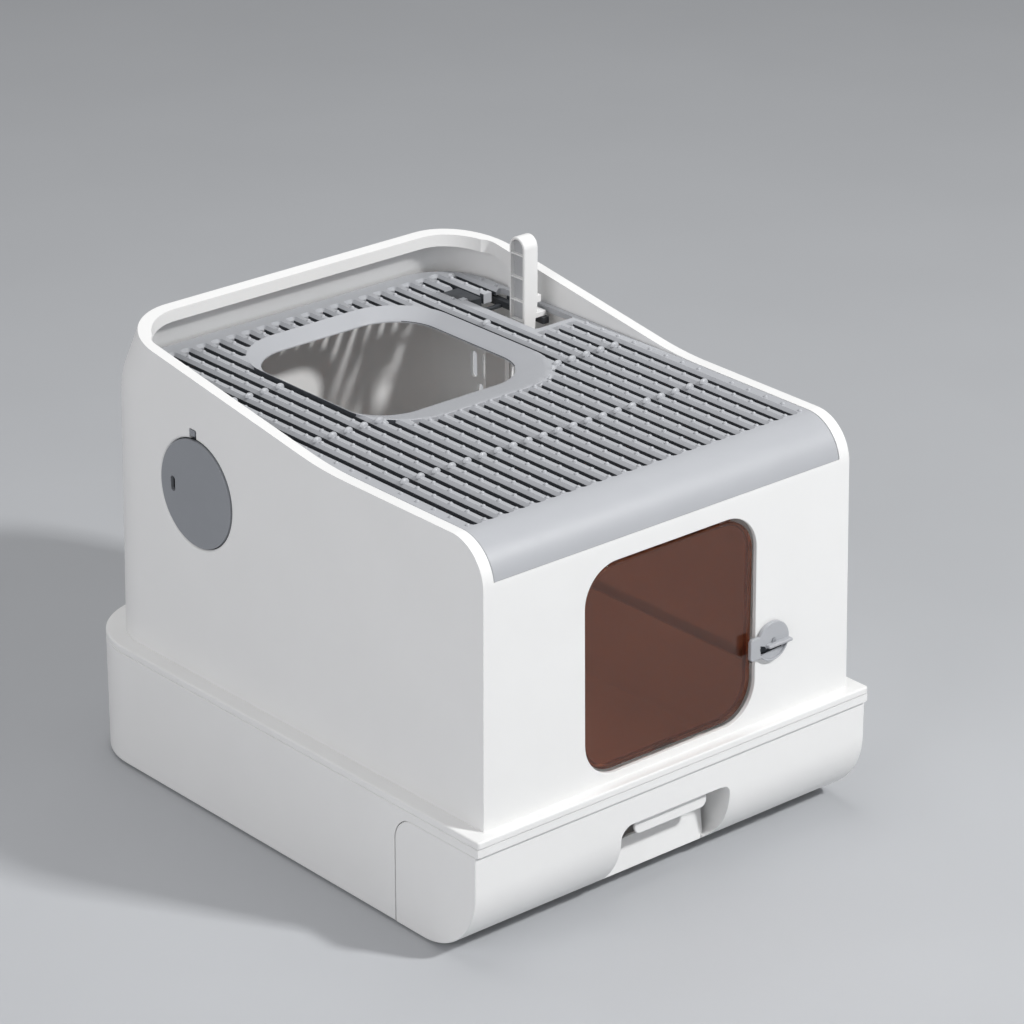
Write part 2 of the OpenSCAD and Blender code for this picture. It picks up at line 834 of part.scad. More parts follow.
// Round hole for the odour unit in the left wall, with the notch for its bayonet lug
module odour_hole() {
    translate([-hood_x - 1, odour_y, odour_z]) rotate([0, 90, 0])
        cylinder(h = hole_d, r = hole_r, $fn = FINE);
    block([-hood_x - 1, key_y - key_w / 2, odour_z],
          [-hood_x + hole_d - 2, key_y + key_w / 2, odour_z + odour_r + key_up]);
}

// Pins that the lid turns on
module lid_pins() {
    color(STEEL) both_sides() translate([well_x - side_ledge - 1, pivot_y, pivot_z]) rotate([0, 90, 0])
        cylinder(h = side_ledge + pin_hole - 1, r = lid_pin_r, $fn = FINE);
}

// Steel rod that the flap hangs on
module door_rod() {
    reach = bracket_x + bracket_w / 2 + 2;
    color(STEEL) translate([-reach, rod_y, rod_z]) rotate([0, 90, 0])
        cylinder(h = 2 * reach, r = rod_r, $fn = FINE);
}

// Magnet on the sill that holds the flap closed
module door_magnet() {
    y = front_at(flange_z) + hood_wall + 0.5;
    color(DARK) block([-magnet_w / 2, y, flange_z], [magnet_w / 2, y + magnet_t, door_z0 - 1]);
}

// See-through flap with a raised border and two hinge ears
module front_door() {
    x = door_x - door_gap;
    z0 = door_z0 + door_gap;
    z1 = door_z1 - door_gap;
    r = door_r - door_gap;
    w = door_rim_w;
    color(AMBER) difference() {
        union() {
            along_y(door_y, door_back) rounded(-x, z0, x, z1, r);
            difference() {
                along_y(door_y, door_back + door_rim_t) rounded(-x, z0, x, z1, r);
                along_y(door_y, BIG) rounded(-x + w, z0 + w, x - w, z1 - w, r - w);
            }
            for (s = [-1, 1]) translate([s * ear_x - ear_w / 2, 0, 0]) {
                block([0, door_back - 0.5, z1 - ear_h], [ear_w, rod_y, rod_z]);
                translate([0, rod_y, rod_z]) rotate([0, 90, 0])
                    cylinder(h = ear_w, r = rod_r + barrel_wall, $fn = FINE);
            }
        }
        translate([-ear_x - ear_w, rod_y, rod_z]) rotate([0, 90, 0])
            cylinder(h = 2 * (ear_x + ear_w), r = rod_r + pin_gap, $fn = FINE);
    }
}

// Steel plate on the flap's border that the magnet pulls
module door_striker() {
    y = door_back + door_rim_t;
    z = door_z0 + door_gap + 0.5;
    color(STEEL) block([-striker_w / 2, y, z], [striker_w / 2, y + striker_t, z + door_rim_w - 1]);
}

// Turn button whose tab stops the flap, with a spindle through the hood's wall
module lock_knob() {
    color(GREY) translate([lock_x, 0, lock_z]) difference() {
        union() {
            translate([0, knob_y, 0]) rotate([90, 0, 0]) cylinder(h = knob_t, r = lock_r, $fn = FINE);
            along_y(knob_y - lock_tab_t, knob_y)
                rounded(-lock_reach, -lock_tab_low, 0, lock_tab_w - lock_tab_low, lock_tab_t);
            block([-lock_r + 2, knob_y - knob_t - grip_h, -grip_w / 2],
                  [lock_r - 1, knob_y - 1, grip_w / 2]);
            translate([0, knob_y - 1, 0]) rotate([-90, 0, 0])
                cylinder(h = washer_y - knob_y + 1, r = spindle_r, $fn = FINE);
        }
        translate([0, knob_y - knob_t, 0]) rotate([-90, 0, 0])
            cylinder(h = BIG, r = screw_r + pin_gap, $fn = FINE);
    }
}

module lock_washer() {
    color(STEEL) translate([lock_x, washer_y, lock_z]) rotate([-90, 0, 0]) difference() {
        cylinder(h = washer_t, r = 2 * spindle_r, $fn = FINE);
        translate([0, 0, -1]) cylinder(h = washer_t + 2, r = screw_r + pin_gap, $fn = FINE);
    }
}

module lock_screw() {
    color(STEEL) translate([lock_x, washer_y + washer_t, lock_z]) rotate([90, 0, 0])
        pan_screw(washer_y + washer_t - knob_y + knob_t - 1);
}

// Cup behind the left wall that holds the charcoal
module odour_cup() {
    x0 = -cup_x;
    color(DARK) translate([x0, odour_y, odour_z]) rotate([0, 90, 0]) difference() {
        union() {
            cylinder(h = cup_flange_t, r = odour_r + cup_flange, $fn = FINE);
            cylinder(h = cup_d, r = cup_r, $fn = FINE);
        }
        translate([0, 0, -1]) cylinder(h = cup_d - cup_wall + 1, r = cup_r - cup_wall, $fn = FINE);
        for (i = [-3 : 3]) {
            y = i * cup_slot_pitch;
            l = sqrt(pow(cup_r - cup_slot_edge, 2) - y * y);
            translate([-l, y - cup_slot_w / 2, 0]) cube([2 * l, cup_slot_w, cup_d + 1]);
        }
    }
}

module charcoal_pack() {
    color(BLACK) translate([-cup_x + pack_in, odour_y, odour_z]) rotate([0, 90, 0])
        cylinder(h = cup_d - cup_wall - pack_in - seat_gap, r = cup_r - cup_wall - seat_gap, $fn = FINE);
}

// Round twist-off cover with a coin slot and a skirt that fits the cup
module odour_cover() {
    skirt_r = cup_r - cup_wall - skirt_gap;
    color(GREY) translate([cover_x, odour_y, odour_z]) rotate([0, 90, 0]) difference() {
        union() {
            cylinder(h = cover_t, r = odour_r, $fn = FINE);
            difference() {
                cylinder(h = cover_t + cover_skirt, r = skirt_r, $fn = FINE);
                translate([0, 0, cover_t]) cylinder(h = BIG, r = skirt_r - skirt_t, $fn = FINE);
            }
        }
        translate([-coin_w / 2, coin_r - coin_h / 2, -1]) cube([coin_w, coin_h, coin_d + 1]);
    }
}

module cover_seal() {
    color(BLACK) translate([cover_x + cover_t, odour_y, odour_z]) rotate([0, 90, 0]) difference() {
        cylinder(h = seal_t, r = odour_r - 0.6, $fn = FINE);
        translate([0, 0, -1]) cylinder(h = seal_t + 2, r = cup_r - cup_wall + 0.2, $fn = FINE);
    }
}

// Grille lid with a curved front band, the top entry's collar and the scoop's notch
module top_lid() {
    color(GREY) difference() {
        union() {
            difference() {
                lid_plate();
                for (k = [0 : slot_n - 1]) {
                    x = (k - (slot_n - 1) / 2) * slot_pitch;
                    y1 = min(slot_y1, lid_edge(x) - 9);
                    along_z(lid_z - 2 * lid_t, BIG) slot(x, slot_y0, y1, slot_w);
                }
            }
            along_z(lid_z - collar_h, lid_z) collar_outline();
            along_z(lid_z - lid_t, lid_z) translate([notch_x0 - notch_frame, notch_y0 - notch_frame])
                square([lid_half - notch_x0 + notch_frame, notch_l + 2 * notch_frame]);
            both_sides() pivot_lug();
        }
        hull() {
            along_z(lid_z - collar_h - 1, lid_z - collar_h) entry_outline(0);
            along_z(lid_z, lid_z + 1) entry_outline(funnel_w);
        }
        along_z(lid_z - 2 * lid_t, BIG) rounded(notch_x0, notch_y0, notch_x1, notch_y1, 3);
        both_sides() translate([well_x - side_ledge - 2, pivot_y, pivot_z]) rotate([0, 90, 0])
            cylinder(h = side_ledge + 3, r = lid_pin_r + pin_gap, $fn = FINE);
    }
}

// Rear edge of the lid at x, round its rear corners
function lid_edge(x) =
    let (over = max(0, abs(x) - (lid_half - lid_r)))
    lid_rear - lid_r + sqrt(lid_r * lid_r - over * over);

module lid_plate() {
    along_z(lid_z - lid_t, lid_z) rear_round(lid_half, brow_y, lid_rear, lid_r);
    along_x(-lid_half, lid_half) intersection() {
        difference() {
            translate([brow_y, brow_z]) circle(brow_r, $fn = FINE);
            translate([brow_y, brow_z]) circle(brow_r - band_t, $fn = FINE);
        }
        translate([brow_y - BIG, band_z]) square([BIG + 1, BIG]);
    }
}

module entry_outline(g) {
    rounded(-entry_x - g, entry_y0 - ramp * g, entry_x + g, entry_y1 + g, entry_r + g, $fn = 32);
}

module collar_outline() {
    rounded(-entry_x - collar_w, entry_y0 - collar_front,
            entry_x + collar_w, entry_y1 + collar_rear, entry_r + collar_h);
}

module pivot_lug() {
    x0 = well_x - side_ledge;
    along_x(x0, lid_half) {
        translate([pivot_y, pivot_z]) circle(lug_r, $fn = FINE);
        translate([pivot_y - lug_r, pivot_z]) square([2 * lug_r, lid_pivot_down - 1]);
    }
}

// Dark bracket under the notch whose arm carries the scoop's hook
module scoop_holder() {
    z0 = holder_z - holder_t;
    color(DARK) difference() {
        union() {
            block([notch_x0 - notch_frame, notch_y1 - holder_w, z0],
                  [notch_x1 + post_out, notch_y1, holder_z]);
            block([arm_x0, scoop_y - arm_l, z0], [arm_x0 + arm_w, notch_y1, holder_z]);
            for (x = holder_posts()) translate([x, post_y(), holder_z - 1])
                cylinder(h = lid_z - lid_t - holder_z + 1, r = post_r, $fn = FINE);
        }
        for (x = holder_posts()) translate([x, post_y(), z0 - 1])
            cylinder(h = BIG, r = post_screw_r + pin_gap, $fn = FINE);
    }
}

function post_y() = notch_y1 - 6;

function holder_posts() = [notch_x0 - post_out, notch_x1 + post_out];

module holder_screws() {
    color(STEEL) for (x = holder_posts()) translate([x, post_y(), holder_z - holder_t]) {
        cylinder(h = holder_t + 2, r = post_screw_r, $fn = FINE);
        translate([0, 0, -post_head]) cylinder(h = post_head, r = 2 * post_screw_r, $fn = FINE);
    }
}

// Slotted scoop that stands in the notch and hangs by its hook
module litter_scoop() {
    x0 = scoop_x - handle_t / 2;
    x1 = scoop_x + handle_t / 2;
    top = lid_z + handle_up;
    blade_x = x1 + blade_out;
    hw = handle_w / 2;
    hook_z = holder_z + seat_gap;
    color(WHITE) difference() {
        union() {
            along_x(x0, x1) {
                translate([scoop_y - hw, neck_z]) square([handle_w, top - hw - neck_z]);
                translate([scoop_y, top - hw]) circle(hw, $fn = FINE);
            }
            block([x1 - 1, scoop_y - hook_w / 2, hook_z],
                  [arm_x0 + arm_w - 0.5, scoop_y + hook_w / 2, hook_z + hook_t]);
            block([x1 - 1, scoop_y - hw, hook_z + nub_up],
                  [x1 + nub_out, scoop_y - hw + nub_w, hook_z + nub_up + nub_h]);
            difference() {
                block([blade_x - blade_d, scoop_y - blade_w / 2, neck_z - blade_l + 2],
                      [blade_x, scoop_y + blade_w / 2, neck_z + 2]);
                block([blade_x - blade_d - 1, scoop_y - blade_w / 2 + blade_t, neck_z - blade_l],
                      [blade_x - blade_t, scoop_y + blade_w / 2 - blade_t, neck_z + 2 - blade_t]);
            }
        }
        along_x(x0 - 1, x0 + groove_d) difference() {
            union() {
                translate([scoop_y - hw + groove_edge, lid_z - groove_down])
                    square([handle_w - 2 * groove_edge, top - hw - lid_z + groove_down]);
                translate([scoop_y, top - hw]) circle(hw - groove_edge, $fn = FINE);
            }
            for (k = [0 : 2]) translate([scoop_y - hw, top - groove_first - k * groove_pitch])
                square([handle_w, groove_rib]);
        }
        for (i = [-2 : 2]) along_x(blade_x - blade_t - 1, blade_x + 1)
            slot(scoop_y + i * sift_pitch, neck_z - blade_l + sift_low, neck_z - sift_high, sift_w);
    }
}

base_frame();
left_runner();
right_runner();
drawer_stops();
rubber_feet();
drawer_front();
litter_tray();
tray_screws();
hood();
lid_pins();
door_rod();
door_magnet();
odour_cup();
charcoal_pack();
top_lid();
scoop_holder();
holder_screws();
litter_scoop();
front_door();
door_striker();
lock_knob();
lock_washer();
lock_screw();
odour_cover();
cover_seal();
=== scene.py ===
import math
import bpy
import bmesh
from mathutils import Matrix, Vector


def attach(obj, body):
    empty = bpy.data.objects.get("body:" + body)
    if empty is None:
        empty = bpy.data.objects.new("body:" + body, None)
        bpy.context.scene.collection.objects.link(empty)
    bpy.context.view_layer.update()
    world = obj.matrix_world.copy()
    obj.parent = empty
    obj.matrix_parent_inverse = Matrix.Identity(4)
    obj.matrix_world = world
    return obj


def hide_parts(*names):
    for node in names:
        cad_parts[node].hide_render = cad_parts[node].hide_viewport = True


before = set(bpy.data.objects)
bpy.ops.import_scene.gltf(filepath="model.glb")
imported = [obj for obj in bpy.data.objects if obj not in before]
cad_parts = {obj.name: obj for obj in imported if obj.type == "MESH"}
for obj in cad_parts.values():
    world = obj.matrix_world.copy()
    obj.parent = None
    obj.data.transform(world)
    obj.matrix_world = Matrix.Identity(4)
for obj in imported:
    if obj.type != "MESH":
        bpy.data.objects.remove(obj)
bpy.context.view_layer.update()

# Camera: a long lens at the height of a table, in front of the left corner of the box.
# It looks down a little, so that the front, the left wall and the lid all show.
view_from = (-2.00707, -2.39102, 1.60026)
view_down, view_round = 23.64, 40.72
lens_length, sensor_width = 149.24, 36
nearest, farthest = 0.1, 30
camera = bpy.data.objects.new("camera", bpy.data.cameras.new("camera"))
camera.data.lens = lens_length
camera.data.sensor_width = sensor_width
camera.data.clip_start = nearest
camera.data.clip_end = farthest
camera.location = view_from
camera.rotation_euler = (math.radians(90 - view_down), 0, math.radians(-view_round))
bpy.context.scene.collection.objects.link(camera)
bpy.context.scene.camera = camera


# Studio: a plain pale floor, a small key light at the front right, broad soft ones at the left and above,
# and a pale room.
# The floor is painted board, rolled on, so it has only a faint unevenness.
def srgb(code):
    """Linear colour with full cover, from an sRGB hex code."""
    parts = [int(code[i:i + 2], 16) / 255 for i in (1, 3, 5)]
    return [c / 12.92 if c <= 0.04045 else ((c + 0.055) / 1.055) ** 2.4 for c in parts] + [1.0]


def add_node(material, kind, links=(), **settings):
    """One node with its settings; each link is (input, other node, output)."""
    node = material.node_tree.nodes.new(kind)
    for name, value in settings.items():
        setattr(node, name, value)
    for socket, source, output in links:
        material.node_tree.links.new(source.outputs[output], node.inputs[socket])
    return node


def new_material(name):
    """A material, its main shader and its coordinates, which stay with the piece."""
    material = bpy.data.materials.new(name)
    material.use_nodes = True
    where = add_node(material, "ShaderNodeTexCoord")
    return material, material.node_tree.nodes["Principled BSDF"], where


def noise(material, where, size, detail, output="Object"):
    """Cloudy noise, with patches of a size in mm."""
    node = add_node(material, "ShaderNodeTexNoise", [("Vector", where, output)])
    node.inputs["Scale"].default_value = 1 / (size * mm)
    node.inputs["Detail"].default_value = detail
    return node


def tint(material, shader, clouds, dark, light):
    """A colour that wanders between two shades with a noise."""
    mix = add_node(material, "ShaderNodeMix", [("Factor", clouds, "Fac")], data_type="RGBA")
    mix.inputs["A"].default_value = srgb(dark)
    mix.inputs["B"].default_value = srgb(light)
    material.node_tree.links.new(mix.outputs[2], shader.inputs["Base Color"])


def mesh_piece(name, points, faces):
    """An object in the scene, made of points in metres and faces."""
    piece = bpy.data.objects.new(name, bpy.data.meshes.new(name))
    piece.data.from_pydata(points, [], faces)
    bpy.context.scene.collection.objects.link(piece)
    return piece


mm = 0.001
floor_half = 6.0
roller_mark = 250.0
lamp_aim = (0, 0, 0.2)
room_glow = 0.34
floor_corners = [(x * floor_half, y * floor_half, 0) for x, y in ((-1, -1), (1, -1), (1, 1), (-1, 1))]
floor = mesh_piece("floor", floor_corners, [(0, 1, 2, 3)])
floor_paint, shader, where = new_material("matt_floor_paint")
tint(floor_paint, shader, noise(floor_paint, where, roller_mark, 5), "#B6B8BB", "#BCBEC1")
shader.inputs["Roughness"].default_value = 0.7
floor.data.materials.append(floor_paint)


def area_light(name, place, size, power, colour):
    """A soft panel of light that faces the box; place and size in metres, power in watts."""
    light = bpy.data.objects.new(name, bpy.data.lights.new(name, "AREA"))
    light.data.shape = "RECTANGLE"
    light.data.size, light.data.size_y = size
    light.data.energy = power
    light.data.color = srgb(colour)[:3]
    light.location = place
    light.rotation_euler = (Vector(lamp_aim) - Vector(place)).to_track_quat("-Z", "Y").to_euler()
    bpy.context.scene.collection.objects.link(light)


area_light("key", (1.2, -2.6, 2.7), (0.3, 0.3), 104, "#FFFFFF")
area_light("fill", (-3.0, -0.6, 1.6), (2.4, 2.0), 36, "#FEFDFF")
area_light("top", (0.2, 0.6, 3.0), (2.0, 2.0), 26, "#FFFFFF")
room = bpy.data.worlds.new("room")
room.use_nodes = True
room.node_tree.nodes["Background"].inputs["Color"].default_value = srgb("#D8D9DB")
room.node_tree.nodes["Background"].inputs["Strength"].default_value = room_glow
bpy.context.scene.world = room
bpy.context.scene.view_settings.view_transform = "Standard"

# Base frame: a deep tray-like frame of white polypropylene, injection moulded in one piece.
# Its walls carry the hood's flange and, inside, the drawer's runners. The front is open for the drawer.
# Sizes are in mm. Y runs from the front to the rear, and each cutter ends well past what it cuts.
past = 300.0
half_w, front_y, rear_y = 205.0, -258.2, 259.0
base_low, base_top, base_wall, base_round, base_edge = 2.0, 102.5, 3.0, 67.0, 1.5
rail_low, rail_gap, rim_in = 96.0, 0.4, 12.0
seam_y, seam_gap = -160.4, 0.6
wing_top, wing_round = 95.0, 21.0


def arc(x, y, r, start, end, steps, squeeze=1.0):
    """Points on an arc, with angles in degrees; squeeze stretches it along its second axis."""
    turns = [math.radians(start + (end - start) * i / steps) for i in range(steps + 1)]
    return [(x + r * math.cos(a), y + r * squeeze * math.sin(a)) for a in turns]


def circle(x, y, r, steps=24):
    """Closed round outline."""
    return arc(x, y, r, 0, 360 * (steps - 1) / steps, steps - 1)


def grow(outline, out):
    """The same outline, run counter-clockwise, moved outwards by a distance."""
    moved = []
    for i in range(len(outline)):
        before, here, after = (Vector(outline[j % len(outline)]) for j in (i - 1, i, i + 1))
        first, second = (here - before).normalized(), (after - here).normalized()
        side = Vector((first.y + second.y, -first.x - second.x)).normalized()
        moved.append(here + side * out / side.dot(Vector((first.y, -first.x))))
    return moved


def loft(name, rings):
    """Closed mesh through rings of as many points each, in mm."""
    n = len(rings[0])
    last = n * (len(rings) - 1)
    faces = [tuple(range(n)), tuple(range(last, last + n))]
    for start in range(0, last, n):
        for i in range(n):
            j = (i + 1) % n
            faces.append((start + i, start + j, start + n + j, start + n + i))
    piece = mesh_piece(name, [Vector(p) * mm for ring in rings for p in ring], faces)
    work = bmesh.new()
    work.from_mesh(piece.data)
    bmesh.ops.recalc_face_normals(work, faces=work.faces)
    work.to_mesh(piece.data)
    work.free()
    return piece


def solid(name, outline, stations, place):
    """Closed mesh with one ring per station (distance, growth), put in space by place(u, v, distance)."""
    rings = []
    for w, out in stations:
        ring = grow(outline, out) if out else outline
        rings.append([place(*point, w) for point in ring])
    return loft(name, rings)


def quarter(steps):
    """Angles of a quarter turn, in radians."""
    return [math.radians(90 * i / steps) for i in range(steps + 1)]


def round_ends(low, high, r, steps=4):
    """Stations for a solid whose two ends are rounded off by r."""
    start = [(low + r * (1 - math.cos(a)), -r * (1 - math.sin(a))) for a in quarter(steps)]
    return start + [(low + high - w, out) for w, out in reversed(start)]


def through(low, high):
    """Stations for a solid that keeps its outline from low to high."""
    return [(low, 0), (high, 0)]


def along_x(u, v, w):
    return (w, u, v)


def along_y(u, v, w):
    return (u, w, v)


def along_z(u, v, w):
    return (u, v, w)


def settle(piece):
    """Works the modifiers into the mesh."""
    graph = bpy.context.evaluated_depsgraph_get()
    made = bpy.data.meshes.new_from_object(piece.evaluated_get(graph))
    piece.modifiers.clear()
    old = piece.data
    piece.data = made
    bpy.data.meshes.remove(old)


def combine(piece, operation, others):
    """Joins, cuts or crosses a piece with others, which are then gone."""
    for other in others:
        step = piece.modifiers.new("combine", "BOOLEAN")
        step.operation = operation
        step.solver = "MANIFOLD"
        step.object = other
        settle(piece)
        bpy.data.objects.remove(other)


def join(piece, *others):
    combine(piece, "UNION", others)


def cut(piece, *others):
    combine(piece, "DIFFERENCE", others)


def carve(piece, outline, stations, place):
    """Cuts a piece with one outline."""
    cut(piece, solid("cut", outline, stations, place))


def trim(piece, outline, stations, place):
    """Keeps only what lies within one outline."""
    combine(piece, "INTERSECT", [solid("cut", outline, stations, place)])


def soften(piece, width, steps, angle):
    """Rounds off every edge that is sharper than an angle, as a mould's tool leaves it."""
    step = piece.modifiers.new("soften", "BEVEL")
    step.width = width * mm
    step.segments = steps
    step.limit_method = "ANGLE"
    step.angle_limit = math.radians(angle)
    step.miter_outer = "MITER_ARC"
    settle(piece)


def shade(piece, angle=35):
    """Smooth shading that keeps flat faces flat and sharp edges sharp."""
    piece.data.shade_smooth()
    piece.data.set_sharp_from_angle(angle=math.radians(angle))
    step = piece.modifiers.new("flat_faces", "WEIGHTED_NORMAL")
    step.keep_sharp = True
    step.weight = 100


def dress(piece, material, body, slot, *nodes):
    """Gives a finished piece its material and the body it moves with, and hides the CAD nodes it stands
    for.
    """
    piece.data.materials.clear()
    piece.data.materials.append(material)
    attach(piece, body)
    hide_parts(*nodes)


def finish(piece, edge, angle, *labels):
    """Rounds off the edges of a piece, shades it and dresses it."""
    soften(piece, edge, 2, angle)
    shade(piece)
    dress(piece, *labels)


def paint(node, material):
    """Gives a piece that keeps its CAD shape a better material."""
    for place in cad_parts[node].material_slots:
        place.material = material


def moulded(name, colour, darker, rough, grain, depth, sheen_level=0.5):
    """Injection-moulded plastic: a spark-eroded grain, faint flow clouding and marks from handling.

    Grain and depth are in mm. A real grain is near 0.1 mm, too fine to show, so it is drawn coarser.
    """
    material, shader, where = new_material(name)
    tint(material, shader, noise(material, where, flow_cloud, 3), darker, colour)
    marks = noise(material, where, hand_mark, 6)
    gloss = add_node(material, "ShaderNodeMapRange", [("Value", marks, "Fac")])
    limits = {"From Min": 0.3, "From Max": 0.7, "To Min": rough - 0.05, "To Max": rough + 0.06}
    for socket, value in limits.items():
        gloss.inputs[socket].default_value = value
    bump = add_node(material, "ShaderNodeBump", [("Height", noise(material, where, grain, 2), "Fac")])
    bump.inputs["Strength"].default_value = 0.5
    bump.inputs["Distance"].default_value = depth * mm
    shader.inputs["Specular IOR Level"].default_value = sheen_level
    material.node_tree.links.new(gloss.outputs[0], shader.inputs["Roughness"])
    material.node_tree.links.new(bump.outputs[0], shader.inputs["Normal"])
    return material


flow_cloud, hand_mark = 70.0, 14.0
white_polypropylene = moulded("white_moulded_polypropylene", "#F2F2F1", "#EDEDEC", 0.46, 0.9, 0.02, 0.4)


def rear_round(hw, y0, y1, r, front=2.5, steps=18):
    """Plan with nearly square front corners and round rear corners."""
    return (arc(-hw + front, y0 + front, front, 180, 270, 3)
            + arc(hw - front, y0 + front, front, 270, 360, 3)
            + arc(hw - r, y1 - r, r, 0, 90, steps) + arc(-hw + r, y1 - r, r, 90, 180, steps))


def wing_side(out, low, front):
    """Side outline of the drawer's wings, as far forward and down as given."""
    y, z = seam_y + out, wing_top + out
    r = wing_round + out
    return [(front, low), (y, low)] + arc(y - r, z - r, r, 0, 90, 10) + [(front, z)]


def shrunk_plan(inset):
    """Plan of the base, moved inwards all round."""
    return rear_round(half_w - inset, front_y + inset, rear_y - inset, base_round - inset)


base = solid("base_frame_shell", shrunk_plan(0), round_ends(base_low, base_top, base_edge), along_z)
base_floor = base_low + base_wall
well_low = solid("cut", shrunk_plan(base_wall), through(base_floor, base_top - base_wall), along_z)
well_high = solid("cut", shrunk_plan(rim_in), through(base_floor + 0.5, base_top + 17.5), along_z)
drawer_mouth = solid("cut", wing_side(seam_gap, -20, -past), through(-past, past), along_x)
cut(base, well_low, well_high, drawer_mouth)
rail_x, rail_rear = half_w - rail_gap, front_y + rim_in
rail_plan = [(-rail_x, front_y), (rail_x, front_y), (rail_x, rail_rear), (-rail_x, rail_rear)]
rail = solid("rail", rail_plan, through(rail_low, base_top), along_z)
join(base, rail)
finish(base, 0.7, 32, white_polypropylene, "base", "white_plastic", "base_frame")

# Hood: the tall cover of white polypropylene, moulded in one piece with its flange and its high rear rim.
# Its walls draft inwards and its rear wall leans forward above a soft knee; it lifts off the base.
flange_low, flange_top = 102.5, 109.0
draft, lean = math.radians(0.75), math.radians(27.5)
slope = math.tan(draft)
hood_x, hood_front, hood_low, hood_high, hood_wall = 190.4, -248.0, 104.0, 395.0, 3.5
knee_y, knee_z, knee_round = 244.5, 330.3, 55.0
lid_top = 340.4
brow_r, brow_y, brow_z = 36.3, -209.14, 304.1
rim_y, rim_z, rim_slope, rim_w, rim_low = 217.7, 381.8, 8.6, 10.3, 322.0
crest_r, crest_y = 350.0, -56.04
corner_low, corner_rise, corner_r, corner_narrow, corner_long = 317.0, 25.0, 62.0, 5.0, 2.3
hood_edge, flange_edge, flange_round = 3.6, 1.8, 1.6


def front_at(z):
    """Y of the drafted front wall at height z."""
    return hood_front + (z - flange_top) * slope


def rear_at(z):
    """Y of the rear wall at height z: drafted below the knee, leaning above it, with a round between."""
    reach = knee_round * math.tan((lean - draft) / 2)
    low_end, high_end = knee_z - reach * math.cos(draft), knee_z + reach * math.cos(lean)
    if z <= low_end:
        return knee_y + (knee_z - z) * slope
    if z >= high_end:
        return knee_y - (z - knee_z) * math.tan(lean)
    centre_y = knee_y + reach * math.sin(draft) - knee_round * math.cos(draft)
    centre_z = low_end - knee_round * math.sin(draft)
    return centre_y + math.sqrt(knee_round ** 2 - (z - centre_z) ** 2)


def wall_block(name, levels, half, front, rear, corner, steps=18):
    """Walls lofted through one plan per level, with round or oval rear corners of (rx, ry)."""
    rings = []
    for z in levels:
        x, y, (rx, ry) = half(z), rear(z), corner(z)
        plan = [(-x, front(z)), (x, front(z))] + arc(x - rx, y - ry, rx, 0, 90, steps, ry / rx)
        rings.append([(u, v, z) for u, v in plan + arc(-x + rx, y - ry, rx, 90, 180, steps, ry / rx)])
    return loft(name, rings)


def rear_corner(z):
    """Radii of the rear corners, which turn oval where the wall leans."""
    share = min(1.0, max(0.0, (z - corner_low) / corner_rise))
    return corner_r - corner_narrow * share, corner_r + corner_long * share


def hood_side(z):
    """X of the drafted right wall at height z; the left one mirrors it."""
    return hood_x - (z - flange_top) * slope


def same(value):
    """One value at every height."""
    return lambda z: value


ahead = same(-past)
hood_levels = [hood_low] + [corner_low + 2.5 * i for i in range(12)] + [hood_high]
hood = wall_block("hood_shell", hood_levels, hood_side, ahead, rear_at, rear_corner)
bend_back = crest_r * math.tan(math.radians(rim_slope / 2))
rim_rise = math.tan(math.radians(rim_slope))
profile = ([(front_at(hood_low), hood_low), (past, hood_low), (past, rim_z + (past - rim_y) * rim_rise)]
           + arc(crest_y - bend_back, lid_top + crest_r, crest_r, rim_slope - 90, -90, 12)
           + arc(brow_y, brow_z, brow_r, 90, 180 - math.degrees(draft), 24))
trim(hood, profile, through(-past, past), along_x)
soften(hood, hood_edge, 4, 30)
flange_plan = rear_round(half_w, -rear_y, rear_y, base_round)
flange = solid("flange", flange_plan, round_ends(flange_low, flange_top, flange_round), along_z)
join(hood, flange)
soften(hood, flange_edge, 3, 32)

# Inside of the hood: the cabin for the cat, and above it the well that the lid lies in.
# The well's rear wall leans back below a plain band, and a shallow recess runs round its rear corners.
well_x, well_corner, well_low_z, well_high_z = 177.4, 49.0, 321.0, 420.0
lip_z, rear_thick, recess_deep = 309.2, 6.6, 4.5
lean_wall, recess_x = rear_thick / math.cos(lean), well_x + recess_deep
recess_y, recess_low, recess_high, recess_round, recess_rise = 152.0, 330.0, 361.0, 9.0, 0.178
cabin_low, cabin_corner_r = 96.0, 58.5


def inner_rear(z):
    return rear_at(z) - lean_wall


def cabin_side(z):
    return hood_side(z) - hood_wall


def cabin_front(z):
    """The inside of the front wall, which follows the brow's round above its centre."""
    if z <= brow_z:
        return front_at(z) + hood_wall
    return brow_y - math.sqrt((brow_r - hood_wall) ** 2 - (z - brow_z) ** 2)


def cabin_rear(z):
    return rear_at(z) - hood_wall


cabin_levels = [cabin_low, brow_z, 309, 314, 318, rim_low]
cabin_corner = same((cabin_corner_r, cabin_corner_r))
cabin = wall_block("cut", cabin_levels, cabin_side, cabin_front, cabin_rear, cabin_corner)
band_rear, band_corner = same(rim_y - rim_w), same((well_corner, well_corner + 4))
well = wall_block("cut", [lip_z, well_high_z], same(well_x), ahead, band_rear, band_corner)
lean_levels = [well_low_z, 330, 335, 345]
low_corner = same((well_corner + 2, well_corner + 4))
low_well = wall_block("cut", lean_levels + [356], same(well_x), ahead, inner_rear, low_corner)
recess = wall_block("cut", lean_levels + [hood_high], same(recess_x), ahead, inner_rear, low_corner)
recess_past = recess_high + (past - recess_y) * recess_rise
recess_end = [(recess_y, recess_low), (past, recess_low), (past, recess_past)]
recess_end += arc(recess_y + recess_round, recess_high - recess_round, recess_round, 100, 180, 6)
trim(recess, recess_end, through(-past, past), along_x)
cut(hood, cabin, well, low_well, recess)

